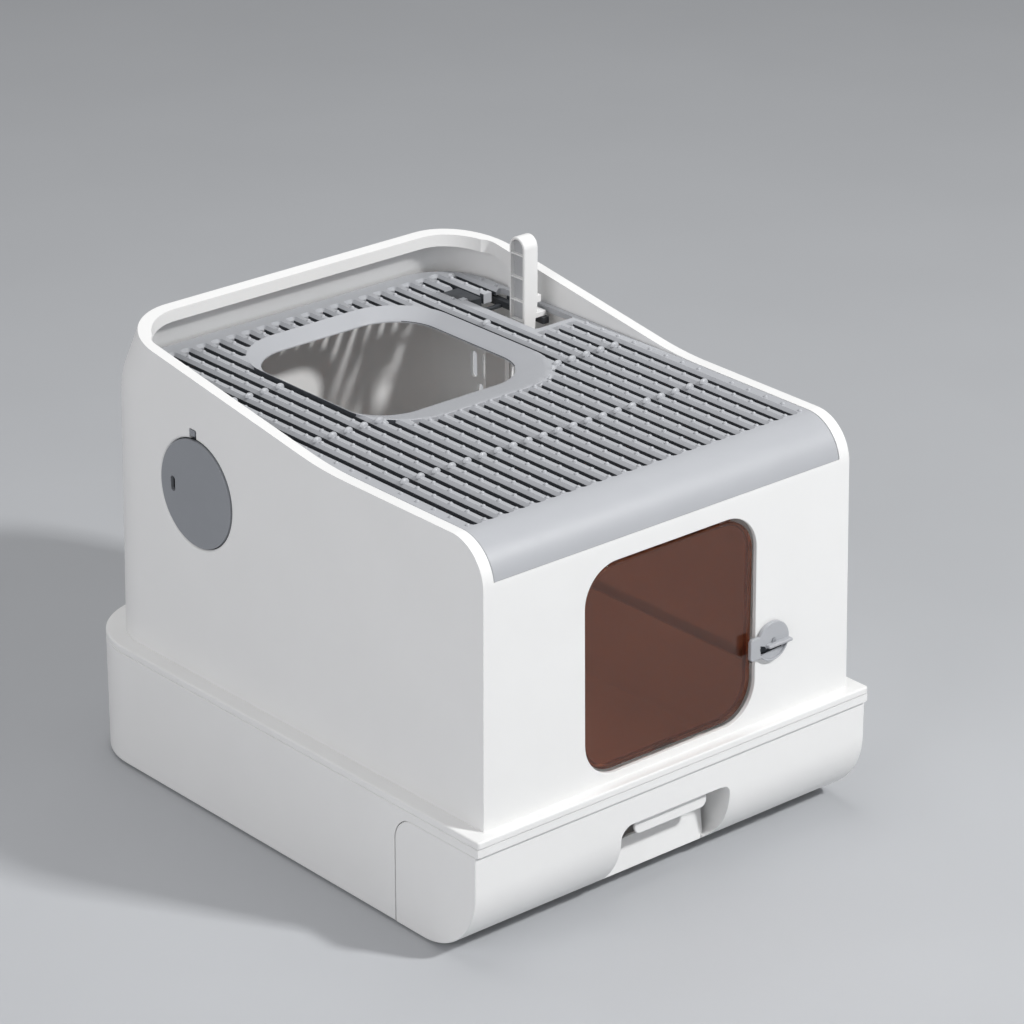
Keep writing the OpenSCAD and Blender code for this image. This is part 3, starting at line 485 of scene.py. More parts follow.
# Small parts moulded inside the hood: the lip behind the lid's band, a ledge for the lid at each side,
# the two ears of the flap's rod and the doorway's sill.
lip_in, lip_thick, lip_down, lip_up = 1.6, 2.0, 3.0, 5.5
ledge_w, ledge_h, ledge_top, ledge_rear = 9.0, 4.0, 335.1, 49.3
ear_x, ear_w, ear_t = 70.0, 6.0, 5.0
rod_y, rod_z = -234.5, 299.1
door_x, door_low, door_high, door_round = 88.65, 115.7, 292.2, 32.0
sill_d = 14.0


def span(side, near, far):
    """Low and high X of what lies between two distances from the middle, on one side of it."""
    return sorted((side * near, side * far))


def block(low, high, edge=0.4):
    """Box between two corners, with its upright edges and its two ends slightly rounded."""
    (x0, y0, z0), (x1, y1, z1) = low, high
    return solid("block", rounded_box(x0, y0, x1, y1, edge, 2), round_ends(z0, z1, edge, 2), along_z)


def rounded_box(x0, y0, x1, y1, r, steps=8):
    """Outline of a box with four corners rounded by r."""
    return (arc(x0 + r, y0 + r, r, 180, 270, steps) + arc(x1 - r, y0 + r, r, 270, 360, steps)
            + arc(x1 - r, y1 - r, r, 0, 90, steps) + arc(x0 + r, y1 - r, r, 90, 180, steps))


lip_y = front_at(lip_z) + hood_wall
lip_rear, lip_base = lip_y + lip_in, lip_z - lip_down
lip = block((-well_x - 1, lip_rear, lip_base), (well_x + 1, lip_rear + lip_thick, lip_z + lip_up))
lip_foot = block((-well_x, lip_y - 1, lip_base), (well_x, lip_rear + 1, lip_z - 1))
sill_y = front_at(flange_top)
sill = block((-door_x, sill_y + 1, flange_low), (door_x, sill_y + sill_d, flange_top))
inner_parts = [lip, lip_foot, sill]
for side in (-1, 1):
    x0, x1 = span(side, well_x - ledge_w, well_x + 2)
    inner_parts.append(block((x0, brow_y, ledge_top - ledge_h), (x1, ledge_rear, ledge_top)))
    ear_front = front_at(rod_z) + hood_wall - 1
    x0 = side * (ear_x + ear_w / 2) - ear_w / 2
    inner_parts.append(block((x0, ear_front, rod_z - ear_t), (x0 + ear_w, rod_y + ear_t, rod_z + ear_t)))
join(hood, *inner_parts)
soften(hood, 0.7, 2, 40)


# Openings in the hood's walls: the doorway, the vents at the right and the odour unit's hole at the left.
# Each is cut with a rounded outer edge, square to its drafted wall.
def hole_stations(depth, r, steps=4):
    """Stations for a cutter that leaves an edge rounded by r where it goes in."""
    mouth_edge = [(r * (1 - math.cos(a)), r * (1 - math.sin(a))) for a in quarter(steps)]
    return [(-3, r)] + mouth_edge + [(depth, 0)]


def into_front(u, v, w):
    return (u, front_at(v) + w, v)


def into_right(u, v, w):
    return (hood_side(v) - w, u, v)


def into_left(u, v, w):
    return (-hood_side(v) + w, u, v)


def slot_outline(u, low, high, width, steps=8):
    """Upright slot with round ends."""
    r = width / 2
    return arc(u, high - r, r, 0, 180, steps) + arc(u, low + r, r, 180, 360, steps)


door_deep, wall_deep, key_deep = 12.0, 9.0, 7.0
door_edge, vent_edge, odour_edge, key_edge = 0.6, 0.8, 2.4, 0.5
door_outline = rounded_box(-door_x, door_low, door_x, door_high, door_round, 14)
doorway = solid("cut", door_outline, hole_stations(door_deep, door_edge), into_front)
vent_rows, vents_in_row = 3, 9
vent_w, vent_h, vent_pitch, vent_row_step = 6.5, 24.5, 12.2, 29.0
vent_first_y, vent_top = 202.5, 266.0
vent_stations = hole_stations(wall_deep, vent_edge)
vents = []
for row in range(vent_rows):
    for i in range(vents_in_row):
        y = vent_first_y - (i + (row % 2) / 2) * vent_pitch
        z = vent_top - row * vent_row_step
        vents.append(solid("cut", slot_outline(y, z - vent_h, z, vent_w), vent_stations, into_right))
odour_y, odour_z, odour_r, odour_gap = 105.0, 268.1, 45.4, 0.6
hole_r = odour_r + odour_gap
odour_outline = circle(odour_y, odour_z, hole_r, 120)
odour_hole = solid("cut", odour_outline, hole_stations(wall_deep, odour_edge), into_left)
key_y, key_w, key_up = odour_y + 2.6, 9.0, 9.0
key_top = odour_z + odour_r + key_up
key_outline = rounded_box(key_y - key_w / 2, odour_z, key_y + key_w / 2, key_top, 1.5, 3)
key = solid("cut", key_outline, hole_stations(key_deep, key_edge), into_left)
# Room in the rear corners for the lid's edges as it swings up.
swing_front, swing_rear, swing_low, swing_high, swing_round = 60.0, 183.0, 341.0, 400.0, 15.0
swing_outline = rounded_box(-well_x, swing_front, well_x, swing_rear, swing_round, 10)
lid_swing = solid("cut", swing_outline, through(swing_low, swing_high), along_z)
cut(hood, doorway, *vents, odour_hole, key, lid_swing)
shade(hood)
dress(hood, white_polypropylene, "hood", "white_plastic", "hood")

# Grille lid: grey polypropylene, moulded flat with a curved front band that closes the hood's brow.
# Its bars are ridged and studded against slipping; it turns on two side pins near its rear.
lid_x, lid_rear, lid_corner, lid_low, lid_edge_r = 177.0, 229.11, 52.0, 335.4, 1.0
band_low, band_t, band_end, plate_front = 309.5, 3.0, -196.0, -204.0
bar_deep, bar_side_in, bar_front, bar_rear_in = 4.6, 11.0, -206.0, 8.0
slot_pitch, slot_w, slot_count = 15.4, 6.5, 22
slot_front, slot_rear, slot_end, ridge = -207.04, 212.11, 9.0, 2.6
entry_x, entry_front, entry_rear, entry_round = 84.5, 8.0, 181.0, 43.0
collar_w, collar_long, collar_short, collar_deep = 13.0, 39.0, 11.5, 11.0
notch_x0, notch_x1, notch_y0, notch_y1, notch_frame = 129.5, 171.3, 61.31, 152.01, 6.0
perch_x0, perch_x1, perch_rear = 127.6, 149.5, 184.0
pivot_y, pivot_z, lug_r, pivot_hole, pivot_deep = 180.0, 330.0, 5.0, 2.55, 14.0

band_turn = 180 - math.degrees(math.asin((band_low - brow_z) / brow_r))
inner_r = brow_r - band_t
inner_turn = 180 - math.degrees(math.asin((band_low - brow_z) / inner_r))
band_profile = ([(band_end, lid_low), (band_end, lid_top)]
                + arc(brow_y, brow_z, brow_r, 90, band_turn, 24)
                + arc(brow_y, brow_z, inner_r, inner_turn, 100, 20))
lid = solid("grille_lid", band_profile, round_ends(-lid_x, lid_x, lid_edge_r), along_x)
plate_plan = rear_round(lid_x, plate_front, lid_rear, lid_corner)
plate = solid("plate", plate_plan, round_ends(lid_low, lid_top, lid_edge_r), along_z)
bars_plan = rear_round(lid_x - bar_side_in, bar_front, lid_rear - bar_rear_in, lid_corner - bar_side_in)
bars = solid("bars", bars_plan, through(lid_low - bar_deep, lid_low + 1), along_z)
under_notch = block((notch_x0 - 8, 54, lid_low - 20), (lid_x, perch_rear + 2, lid_low - 0.4))
cut(bars, under_notch)
join(lid, plate, bars)


def lid_edge(x):
    """Rear edge of the lid at x, round its rear corners."""
    over = max(0.0, abs(x) - (lid_x - lid_corner))
    return lid_rear - lid_corner + math.sqrt(lid_corner ** 2 - over ** 2)


def bar_spans(x):
    """Stretches along Y where the lid is a grille at this x."""
    rear = min(slot_rear, lid_edge(x) - slot_end)
    if x > notch_x0 - notch_frame - slot_w / 2:
        return [(slot_front, notch_y0 - notch_frame), (notch_y1 - 1, rear)]
    if abs(x) < entry_x + collar_w:
        turn_r = entry_round + collar_w
        over = max(0.0, abs(x) - entry_x + entry_round) / turn_r
        round_off = (1 - math.sqrt(1 - over ** 2)) * turn_r
        front_end, rear_start = entry_front - collar_long, entry_rear + collar_short
        return [(slot_front, front_end + round_off), (rear_start - round_off, rear)]
    return [(slot_front, rear)]


# A gap is straight below and widens to its top, which leaves each bar with a ridge.
slot_cut = [(lid_low - 8, 0), (lid_top - ridge, 0), (lid_top + 0.4, ridge + 0.1)]
slots = []
for k in range(slot_count):
    x = (k - (slot_count - 1) / 2) * slot_pitch
    for y0, y1 in bar_spans(x):
        if y1 - y0 > 2 * slot_w:
            outline = rounded_box(x - slot_w / 2, y0, x + slot_w / 2, y1, 1.2, 2)
            slots.append(solid("cut", outline, slot_cut, along_z))


def gather(pieces):
    """One object from many, each still its own shell."""
    work = bmesh.new()
    for piece in pieces:
        work.from_mesh(piece.data)
    work.to_mesh(pieces[0].data)
    work.free()
    for piece in pieces[1:]:
        bpy.data.objects.remove(piece)
    return pieces[0]


def entry_ring(share, z):
    """Outline of the entry, from the hole (share 0) to the outer edge of its sloping collar (share 1)."""
    side = collar_w * share
    front, rear = entry_front - collar_long * share, entry_rear + collar_short * share
    plan = rounded_box(-entry_x - side, front, entry_x + side, rear, entry_round + side, 36)
    return [(u, v, z) for u, v in plan]


cut(lid, gather(slots))
collar_low = lid_top - collar_deep
collar_rings = [(1, collar_low), (1, lid_top - 0.3), (0.98, lid_top)]
collar = loft("collar", [entry_ring(share, z) for share, z in collar_rings])
frame_plan = rounded_box(notch_x0 - notch_frame, notch_y0 - notch_frame, lid_x - 0.5, notch_y1, 2, 4)
notch_rim = solid("notch_rim", frame_plan, through(lid_low, lid_top), along_z)
tab_y, tab_low = notch_y1 - 1, lid_low - 4
tabs = [block((perch_x0 - 1, tab_y, tab_low), (perch_x0 + 5, notch_y1 + 5, lid_top)),
        block((perch_x1, tab_y, tab_low), (perch_x1 + 9, notch_y1 + 4, lid_top))]
join(lid, collar, notch_rim)
funnel_top, funnel_step, funnel_end = 0.97, 0.19, 1.5
funnel_rings = [(funnel_top, lid_top + 1), (funnel_top, lid_top)]
for i in range(1, 5):
    funnel_rings.append((funnel_top - funnel_step * i, lid_top - (collar_deep - funnel_end) * i / 5))
funnel_rings += [(0.02, collar_low + funnel_end), (0, collar_low + 0.8), (0, collar_low - 2)]
funnel = loft("cut", [entry_ring(share, z) for share, z in funnel_rings])
deep = through(lid_low - 3, lid_top + 3)
notch = solid("cut", rounded_box(notch_x0, notch_y0, notch_x1, notch_y1 + 1, 3, 4), deep, along_z)
perch_outline = rounded_box(perch_x0, notch_y1 - 2, perch_x1, perch_rear, 1.5, 3)
perch_cut = solid("cut", perch_outline, deep, along_z)
cut(lid, funnel, notch, perch_cut)
join(lid, *tabs)
lug_outline = arc(pivot_y, pivot_z, lug_r, 180, 360, 20)
lug_outline += [(pivot_y + lug_r, lid_low + 1), (pivot_y - lug_r, lid_low + 1)]
lugs = []
for side in (-1, 1):
    x0, x1 = span(side, well_x - ledge_w, lid_x - 0.2)
    lugs.append(solid("lug", lug_outline, round_ends(x0, x1, 0.6), along_x))
join(lid, *lugs)
pivot_bore = circle(pivot_y, pivot_z, pivot_hole)
bores = [solid("cut", pivot_bore, through(x, x + pivot_deep), along_x)
         for x in (-lid_x - 1, lid_x + 1 - pivot_deep)]
cut(lid, *bores)
soften(lid, 0.35, 2, 35)

# Studs against slipping, moulded with the lid in the same grey polypropylene.
# There is a small dome every 19 mm on each bar, and three rows of half-round lumps run across the bars.
stud_step, stud_r, stud_h, stud_count, sunk = 19.3, 2.0, 2.0, 24, 0.3
lump_rows = (-113.9, -7.8, 98.3)
lump_x, lump_y, lump_h, lump_clear = 4.4, 2.4, 3.5, 4.0
edge_line, lump_line_end = 170.2, 160.0


def domes(name, places, rx, ry, h, around=12, up=4):
    """Half domes in one mesh, each with its flat side on the bar."""
    verts, faces = [], []
    for x, y, z in places:
        first = len(verts)
        for level in range(up):
            turn = math.radians(90 * level / up)
            wide, long, high = rx * math.cos(turn), ry * math.cos(turn), z - sunk + h * math.sin(turn)
            verts += [(x + u * wide, y + v * long, high) for u, v in circle(0, 0, 1, around)]
        verts.append((x, y, z - sunk + h))
        for level in range(up - 1):
            for i in range(around):
                a, b = first + level * around + i, first + level * around + (i + 1) % around
                faces.append((a, b, b + around, a + around))
        last = first + (up - 1) * around
        faces += [(last + i, last + (i + 1) % around, len(verts) - 1) for i in range(around)]
        faces.append(tuple(range(first + around - 1, first - 1, -1)))
    return mesh_piece(name, [Vector(p) * mm for p in verts], faces)


def on_bar(x, y):
    """True where a bar, not the collar, the notch or the perch, lies under a stud."""
    if abs(y - slot_front) < 1:
        return True
    if notch_x0 - notch_frame - 1 < x < notch_x1 and notch_y0 - notch_frame < y < notch_y1 + 2:
        return False
    if perch_x0 < x < perch_x1 and notch_y0 < y < perch_rear:
        return False
    return any(y0 < y < y1 + 3 for y0, y1 in bar_spans(x))


bar_lines = [j * slot_pitch for j in range(-10, 11)] + [-edge_line, edge_line]
stud_places = []
lump_places = []
for x in bar_lines:
    for i in range(stud_count):
        y = slot_front + i * stud_step
        if on_bar(x, y) and min(abs(y - row) for row in lump_rows) > lump_clear:
            stud_places.append((x, y, lid_top))
    lump_places += [(x, row, lid_top) for row in lump_rows if on_bar(x, row) and abs(x) < lump_line_end]
studs = domes("studs", stud_places, stud_r, stud_r, stud_h)
lumps = domes("lumps", lump_places, lump_x, lump_y, lump_h, 16, 5)
lid = gather([lid, studs, lumps])
shade(lid)
# Satin grey, with the same fine grain as the hood; it spreads the light over the band as one soft band.
grey_polypropylene = moulded("grey_moulded_polypropylene", "#B6B8BC", "#AFB1B5", 0.42, 0.9, 0.02)
dress(lid, grey_polypropylene, "lid", "grey_plastic", "top_lid")
# The sides of the gaps get a dark grey, a painted shade for the shadow between the bars; they also get a
# coarser grain and a duller finish than the bars.
gap_painted_shade = moulded("grey_polypropylene_painted_shade", "#4A4D52", "#44474C", 0.65, 0.6, 0.05, 0.2)
side_facing = 0.7


def in_shaded_gap(centre, normal):
    in_grille = centre.y > slot_front - 1 and abs(centre.x) < well_x - ledge_w
    below_ridge = lid_top - 10 < centre.z < lid_top - ridge + 0.3
    return in_grille and below_ridge and abs(normal.x) > side_facing


def dress_faces(piece, material, chosen):
    """A second material for the faces that are chosen by their centre, in mm, and their normal."""
    piece.data.materials.append(material)
    for face in piece.data.polygons:
        if chosen(face.center / mm, face.normal):
            face.material_index = 1


# Painted shade: the upright sides of the gaps below the ridges take the dark grey.
dress_faces(lid, gap_painted_shade, in_shaded_gap)

# Drawer front: a white polypropylene fascia, moulded with a rolled lower edge and two wings at its sides.
# Its finger recess has a sloping plate below and a grip tab hung from its upper edge.
face_y, bend_y, bend_z, front_round, front_lift, front_wall = -255.2, -193.7, 63.3, 61.5, 1.8, 3.0
pull_x, pull_top, pull_round, pull_low = 57.2, 68.8, 12.0, 14.0
pull_back, plate_top, plate_lean, plate_t = 25.9, 40.0, 4.0, 2.5
pocket_x, pocket_front, pocket_rear, pocket_low, pocket_round = 44.0, -258.0, -219.5, 17.0, 22.0
pocket_bend_low, pocket_bend_high, pocket_skin = 16.0, 7.0, 2.0
tab_x, tab_z, tab_back, tab_t, tab_round = 37.8, 54.3, 6.3, 2.5, 6.0
bridge_in, bridge_low, bridge_high = 6.0, 1.0, 6.0
weld_reach, flat_within = 0.06, 0.4
boss_x, boss_zs, boss_r = 120.0, (30.0, 72.0), 5.0
tray_front = -210.6


def fascia_side(inset):
    """Side outline of the fascia and its wings, with the skin inset."""
    r = front_round - inset
    y = seam_y if inset == 0 else 200
    outline = arc(bend_y, bend_z, r, 180, 270, 22)
    if inset:
        return outline + [(y, front_lift + inset), (y, 150), (face_y + inset, 150)]
    wing_bend = arc(y - wing_round, wing_top - wing_round, wing_round, 0, 90, 10)
    return outline + [(y, front_lift)] + wing_bend + [(face_y, wing_top)]


fascia = solid("drawer_fascia", fascia_side(0), round_ends(-half_w, half_w, 1.2), along_x)
hollow_x = half_w - front_wall
carve(fascia, fascia_side(front_wall), through(-hollow_x, hollow_x), along_x)
shell_side = fascia_side(0)
plate_y = face_y + pull_back
cheeks = []
for side in (-1, 1):
    x0, x1 = span(side, pull_x, pull_x + front_wall)
    cheek = solid("cheek", shell_side, through(x0, x1), along_x)
    reach = block((x0 - 2, face_y - 2, -2), (x1 + 2, plate_y + plate_t, pull_top + 3), 0.1)
    combine(cheek, "INTERSECT", [reach])
    cheeks.append(cheek)


def within_fascia(piece):
    """Cuts off all that would stand out of the fascia's skin."""
    trim(piece, shell_side, through(-half_w, half_w), along_x)


def plate_ring(x, top):
    """Section of the sloping plate at x, with its upper edge at a height of its own."""
    high_y = plate_y + (top - plate_top) * plate_lean / (plate_top - pull_low)
    low_y = plate_y - plate_lean
    low = pull_low - 2
    return [(x, high_y, top), (x, low_y, low), (x, low_y + plate_t, low), (x, high_y + plate_t, top)]


plate_tops = ((-pull_x - 1, 40.2), (8, 43.6), (pocket_x + 6, 43.6))
pull_plate = loft("pull_plate", [plate_ring(x, top) for x, top in plate_tops])
within_fascia(pull_plate)


def pocket_side(out):
    """Side outline of the deep pocket at the recess's right end, round at its lower rear."""
    y, low, high = pocket_rear + out, pocket_low - out, pull_top + out
    return ([(pocket_front, low), (y - pocket_round, low)]
            + arc(y - pocket_round, low + pocket_round, pocket_round, 270, 360, 12)
            + [(y, high), (pocket_front, high)])


def pocket_face(out):
    """Front outline of the same pocket, with a wide bend below and a small one above."""
    low, high, right = pocket_low - out, pull_top + out, pull_x + out
    return ([(pocket_x - out, low)]
            + arc(right - pocket_bend_low, low + pocket_bend_low, pocket_bend_low, 270, 360, 12)
            + arc(right - pocket_bend_high, high - pocket_bend_high, pocket_bend_high, 0, 90, 8)
            + [(pocket_x - out, high)])


pocket_deep = through(pocket_front - 4, pocket_rear + 19.5)
pocket_wide = through(pocket_x - pocket_skin, pull_x + front_wall)
pocket_shell = solid("pocket", pocket_side(pocket_skin), pocket_wide, along_x)
trim(pocket_shell, pocket_face(pocket_skin), pocket_deep, along_y)
within_fascia(pocket_shell)
pocket_cut = solid("cut", pocket_side(0), through(pocket_x - 1, pull_x + front_wall), along_x)
trim(pocket_cut, pocket_face(0), pocket_deep, along_y)
bosses = []
for z in boss_zs:
    for x in (-boss_x, boss_x):
        boss_outline = circle(x, z, boss_r)
        bosses.append(solid("boss", boss_outline, through(face_y + 1, tray_front), along_y))
        within_fascia(bosses[-1])
join(fascia, *cheeks, *bosses, pocket_shell)


def into_face(u, v, w):
    return (u, face_y + w, v)


window = ([(-pull_x, pull_low), (pocket_x + 4, pull_low), (pocket_x + 4, pull_top)]
          + arc(-pull_x + pull_round, pull_top - pull_round, pull_round, 90, 180, 10))
window_cut = solid("cut", window, hole_stations(pull_back, 1.0), into_face)
cut(fascia, window_cut, pocket_cut)
join(fascia, pull_plate)
grip_front = face_y + tab_back
grip_rear = grip_front + tab_t
tab_outline = rounded_box(-tab_x, tab_z, tab_x, pull_top + 12, tab_round)
tab = solid("tab", tab_outline, round_ends(grip_front, grip_rear, 0.8), along_y)
bridge_x = tab_x - bridge_in
bridge = block((-bridge_x, face_y + front_wall - 0.5, pull_top + bridge_low),
               (bridge_x, grip_rear, pull_top + bridge_high))
join(fascia, tab, bridge)
# The cuts leave slivers, which are joined up so that every edge can be rounded.
weld = fascia.modifiers.new("weld", "WELD")
weld.merge_threshold = weld_reach * mm
flatten = fascia.modifiers.new("flatten", "DECIMATE")
flatten.decimate_type = "DISSOLVE"
flatten.angle_limit = math.radians(flat_within)
settle(fascia)
finish(fascia, 0.6, 38, white_polypropylene, "drawer", "white_plastic", "drawer_front")

# Litter tray: a deep white polypropylene pan behind the fascia, screwed to it, with a rib along each side.
# The ribs run in the base's channels, and a lug at the end of each meets a stop.
tray_x, tray_rear, tray_low, tray_top, tray_round, tray_wall = 189.0, 247.0, 7.0, 92.0, 60.0, 2.5
rib_x, rib_low, rib_high, rib_rear = 198.8, 64.3, 67.7, 184.0
tray_lug_l, tray_lug_w, tray_lug_low, tray_lug_high = 8.0, 6.5, 74.0, 82.0
tray_plan = rear_round(tray_x, tray_front, tray_rear, tray_round)
tray = solid("litter_pan", tray_plan, round_ends(tray_low, tray_top, 1.2), along_z)
pan_plan = rear_round(tray_x - tray_wall, tray_front + tray_wall, tray_rear - tray_wall,
                      tray_round - tray_wall, 8)
pan_floor = tray_low + tray_wall
pan_stations = [(pan_floor, -6), (pan_floor + 2, -2), (pan_floor + 6, 0), (past, 0)]
pan = solid("cut", pan_plan, pan_stations, along_z)
ribs = []
for side in (-1, 1):
    x0, x1 = span(side, tray_x - 1, rib_x)
    ribs.append(block((x0, tray_front, rib_low), (x1, rib_rear, rib_high)))
    x0, x1 = span(side, tray_x - 1, tray_x + tray_lug_w)
    ribs.append(block((x0, rib_rear - tray_lug_l, tray_lug_low), (x1, rib_rear, tray_lug_high)))
cut(tray, pan)
join(tray, *ribs)
finish(tray, 0.5, 38, white_polypropylene, "drawer", "white_plastic", "litter_tray")

# Scoop holder: a dark polypropylene bracket screwed under the lid at the notch.
# A flat perch fills the gap between two bars, and an arm at the right carries the scoop's hook.
holder_top, holder_low = 333.0, 327.0
strap_y0, strap_y1, strap_top = 144.0, 148.4, 329.6
arm_x0, arm_x1, arm_front = 163.7, 170.2, 91.1
perch_top, perch_gap, perch_step, perch_edge = 337.2, 0.5, 5.6, 0.8
post_y, post_r, post_out, post_bore = 146.0, 2.6, 2.7, 1.25
post_xs = (notch_x0 - post_out, notch_x1 + post_out)
holder = block((post_xs[0] - 3.3, strap_y0, holder_low), (post_xs[1] + 2.6, strap_y1, strap_top))
perch_end = perch_rear - perch_gap
arm = block((arm_x0, arm_front, holder_low), (arm_x1, perch_end, holder_top))
back = block((perch_x0 + 1, perch_rear - 5, holder_low - 2), (arm_x1, perch_end, holder_low + 2))
perch = block((perch_x0 + perch_step, notch_y1 + 0.5, holder_low),
              (perch_x1 - perch_gap, perch_end, perch_top), perch_edge)
perch_side = block((perch_x0 + perch_gap, notch_y1 + perch_step, holder_low),
                   (perch_x0 + 7, perch_end, perch_top), perch_edge)
posts = []
screw_holes = []
for x in post_xs:
    post_outline, bore_outline = (circle(x, post_y, r) for r in (post_r, post_bore))
    posts.append(solid("post", post_outline, through(holder_low, lid_low), along_z))
    screw_holes.append(solid("cut", bore_outline, through(holder_low - 1, lid_low + 1), along_z))
join(holder, arm, back, perch, perch_side, *posts)
cut(holder, *screw_holes)
# Coloured through with carbon black; its satin skin shows only a soft grey shine.
dark_polypropylene = moulded("dark_moulded_polypropylene", "#3A3D41", "#34373B", 0.45, 0.9, 0.02)
finish(holder, 0.4, 38, dark_polypropylene, "lid", "dark_plastic", "scoop_holder")

# Litter scoop: white polypropylene, with a channelled handle that stands up through the notch.
# A small hook hangs it on the holder's arm, and the slotted blade hangs below the lid.
scoop_x, scoop_y, handle_t, handle_w, scoop_top = 149.8, 100.11, 15.4, 19.4, 406.85
groove_edge, groove_deep, groove_low = 2.4, 4.0, 334.4
groove_ribs, groove_first, groove_step, groove_rib = 3, 15.0, 20.2, 1.2
neck_low, blade_l, blade_w, blade_deep, blade_t, blade_out = 303.0, 112.0, 70.0, 24.0, 2.4, 2.4
sift_step, sift_w, sift_low, sift_high = 12.4, 6.0, 16.0, 14.0
hook_low, hook_high, hook_w = 333.3, 337.8, 12.0
nub_low, nub_high, nub_w, nub_out = 348.3, 354.9, 5.0, 3.6
handle_x0, handle_x1, half_h = scoop_x - handle_t / 2, scoop_x + handle_t / 2, handle_w / 2
blade_x = handle_x1 + blade_out


def arch(low, top, half):
    """Upright outline with a round top, in (Y, Z), about the scoop's middle."""
    return [(scoop_y - half, low), (scoop_y + half, low)] + arc(scoop_y, top - half, half, 0, 180, 20)


handle_outline = arch(neck_low, scoop_top, half_h)
scoop = solid("scoop_handle", handle_outline, round_ends(handle_x0, handle_x1, 1.6), along_x)
taper = [(handle_x1 - 2.8, 336), (handle_x1 - 3.6, 322), (handle_x1 + 4, 300), (handle_x1 + 4, 352),
         (handle_x1 + 0.01, 352)]
carve(scoop, taper, through(scoop_y - 15, scoop_y + 15), along_y)


def into_handle(u, v, w):
    return (handle_x0 + w, u, v)


channel_outline = arch(groove_low, scoop_top - groove_edge, half_h - groove_edge)
channel = solid("cut", channel_outline, hole_stations(groove_deep, 0.5), into_handle)
handle_y0, handle_y1 = scoop_y - half_h, scoop_y + half_h
for i in range(groove_ribs):
    z = scoop_top - groove_first - i * groove_step
    cross_rib = block((handle_x0 + 0.7, handle_y0, z - groove_rib), (handle_x0 + 5, handle_y1, z), 0.3)
    cut(channel, cross_rib)
cut(scoop, channel)
blade_top, blade_end = neck_low + 2, neck_low + 2 - blade_l
blade_back, blade_y0, blade_y1 = blade_x - blade_deep, scoop_y - blade_w / 2, scoop_y + blade_w / 2
shell = block((blade_back, blade_y0, blade_end), (blade_x, blade_y1, blade_top), 1.6)
inner = block((blade_back - 4, blade_y0 + blade_t, blade_end - 4),
              (blade_x - blade_t, blade_y1 - blade_t, blade_top - blade_t), 1.2)
cut(shell, inner)
hook_y0, hook_y1 = scoop_y - hook_w / 2, scoop_y + hook_w / 2
hook = block((handle_x1 - 6, hook_y0, hook_low), (arm_x1 - 0.5, hook_y1, hook_high))
nub = block((handle_x1 - 2, handle_y0 + 0.3, nub_low),
            (handle_x1 + nub_out, handle_y0 + nub_w, nub_high), 0.8)
join(scoop, shell, hook, nub)
sift_z0, sift_z1 = neck_low - blade_l + sift_low, neck_low - sift_high
sifts = []
for i in range(-2, 3):
    sift = slot_outline(scoop_y + i * sift_step, sift_z0, sift_z1, sift_w)
    sifts.append(solid("cut", sift, through(blade_x - blade_t - 1, blade_x + 1), along_x))
cut(scoop, *sifts)
finish(scoop, 0.4, 38, white_polypropylene, "scoop", "white_plastic", "litter_scoop")
# The channel is a thumb pad, coloured a greyer white than the rest of the scoop, with a coarser grain and a
# duller finish.
pad_polypropylene = moulded("greyer_white_polypropylene", "#BDBEC0", "#B6B7B9", 0.6, 0.6, 0.05, 0.3)


def in_channel(centre, normal):
    depth = centre.x - handle_x0
    return normal.x < -side_facing and 1.5 < depth < groove_deep + 1 and centre.z > groove_low


dress_faces(scoop, pad_polypropylene, in_channel)

# Flap: amber polycarbonate, clear and polished, with a rim turned back all round.
# Two ears hang it on a steel rod inside the doorway's top, so that it swings inwards.
flap_gap, flap_high = 1.2, 288.4
flap_x, flap_low, flap_round = door_x - flap_gap, door_low + flap_gap, door_round - flap_gap
flap_y, flap_t, flap_rim, rim_t, dish_bend = -242.6, 3.0, 7.5, 2.2, 1.5
ear_mid, ear_half, ear_lap, barrel_r, barrel_bore = 58.0, 6.0, 2.5, 4.2, 2.05
flap_outline = rounded_box(-flap_x, flap_low, flap_x, flap_high, flap_round, 14)
flap = solid("flap", flap_outline, round_ends(flap_y, flap_y + flap_rim, 0.8), along_y)
dish_x, dish_round = flap_x - rim_t, flap_round - rim_t
dish_outline = rounded_box(-dish_x, flap_low + rim_t, dish_x, flap_high - rim_t, dish_round, 14)
dish_y = flap_y + flap_t
dish_stations = [(dish_y, -dish_bend), (dish_y + dish_bend, 0), (flap_y + 20, 0)]
carve(flap, dish_outline, dish_stations, along_y)
barrel = circle(rod_y, rod_z, barrel_r)
ears = []
for side in (-1, 1):
    x0, x1 = side * ear_mid - ear_half, side * ear_mid + ear_half
    ears.append(block((x0, flap_y + 1, flap_high - ear_lap), (x1, rod_y + 1, rod_z), 0.6))
    ears.append(solid("ear", barrel, round_ends(x0, x1, 0.5), along_x))
join(flap, *ears)
carve(flap, circle(rod_y, rod_z, barrel_bore), through(-90, 90), along_x)
# Polished to a clear gloss: it colours what lies behind it, and its own shine stays faint and sharp.
dye_cloud = 60.0
amber_polycarbonate, shader, where = new_material("amber_clear_polycarbonate")
haze = noise(amber_polycarbonate, where, dye_cloud, 2)
tint(amber_polycarbonate, shader, haze, "#A86245", "#B06A4C")
shader.inputs["Transmission Weight"].default_value = 0.93
shader.inputs["Roughness"].default_value = 0.01
shader.inputs["Specular IOR Level"].default_value = 0.12
shader.inputs["IOR"].default_value = 1.49
finish(flap, 0.35, 38, amber_polycarbonate, "door", "amber_plastic", "front_door")

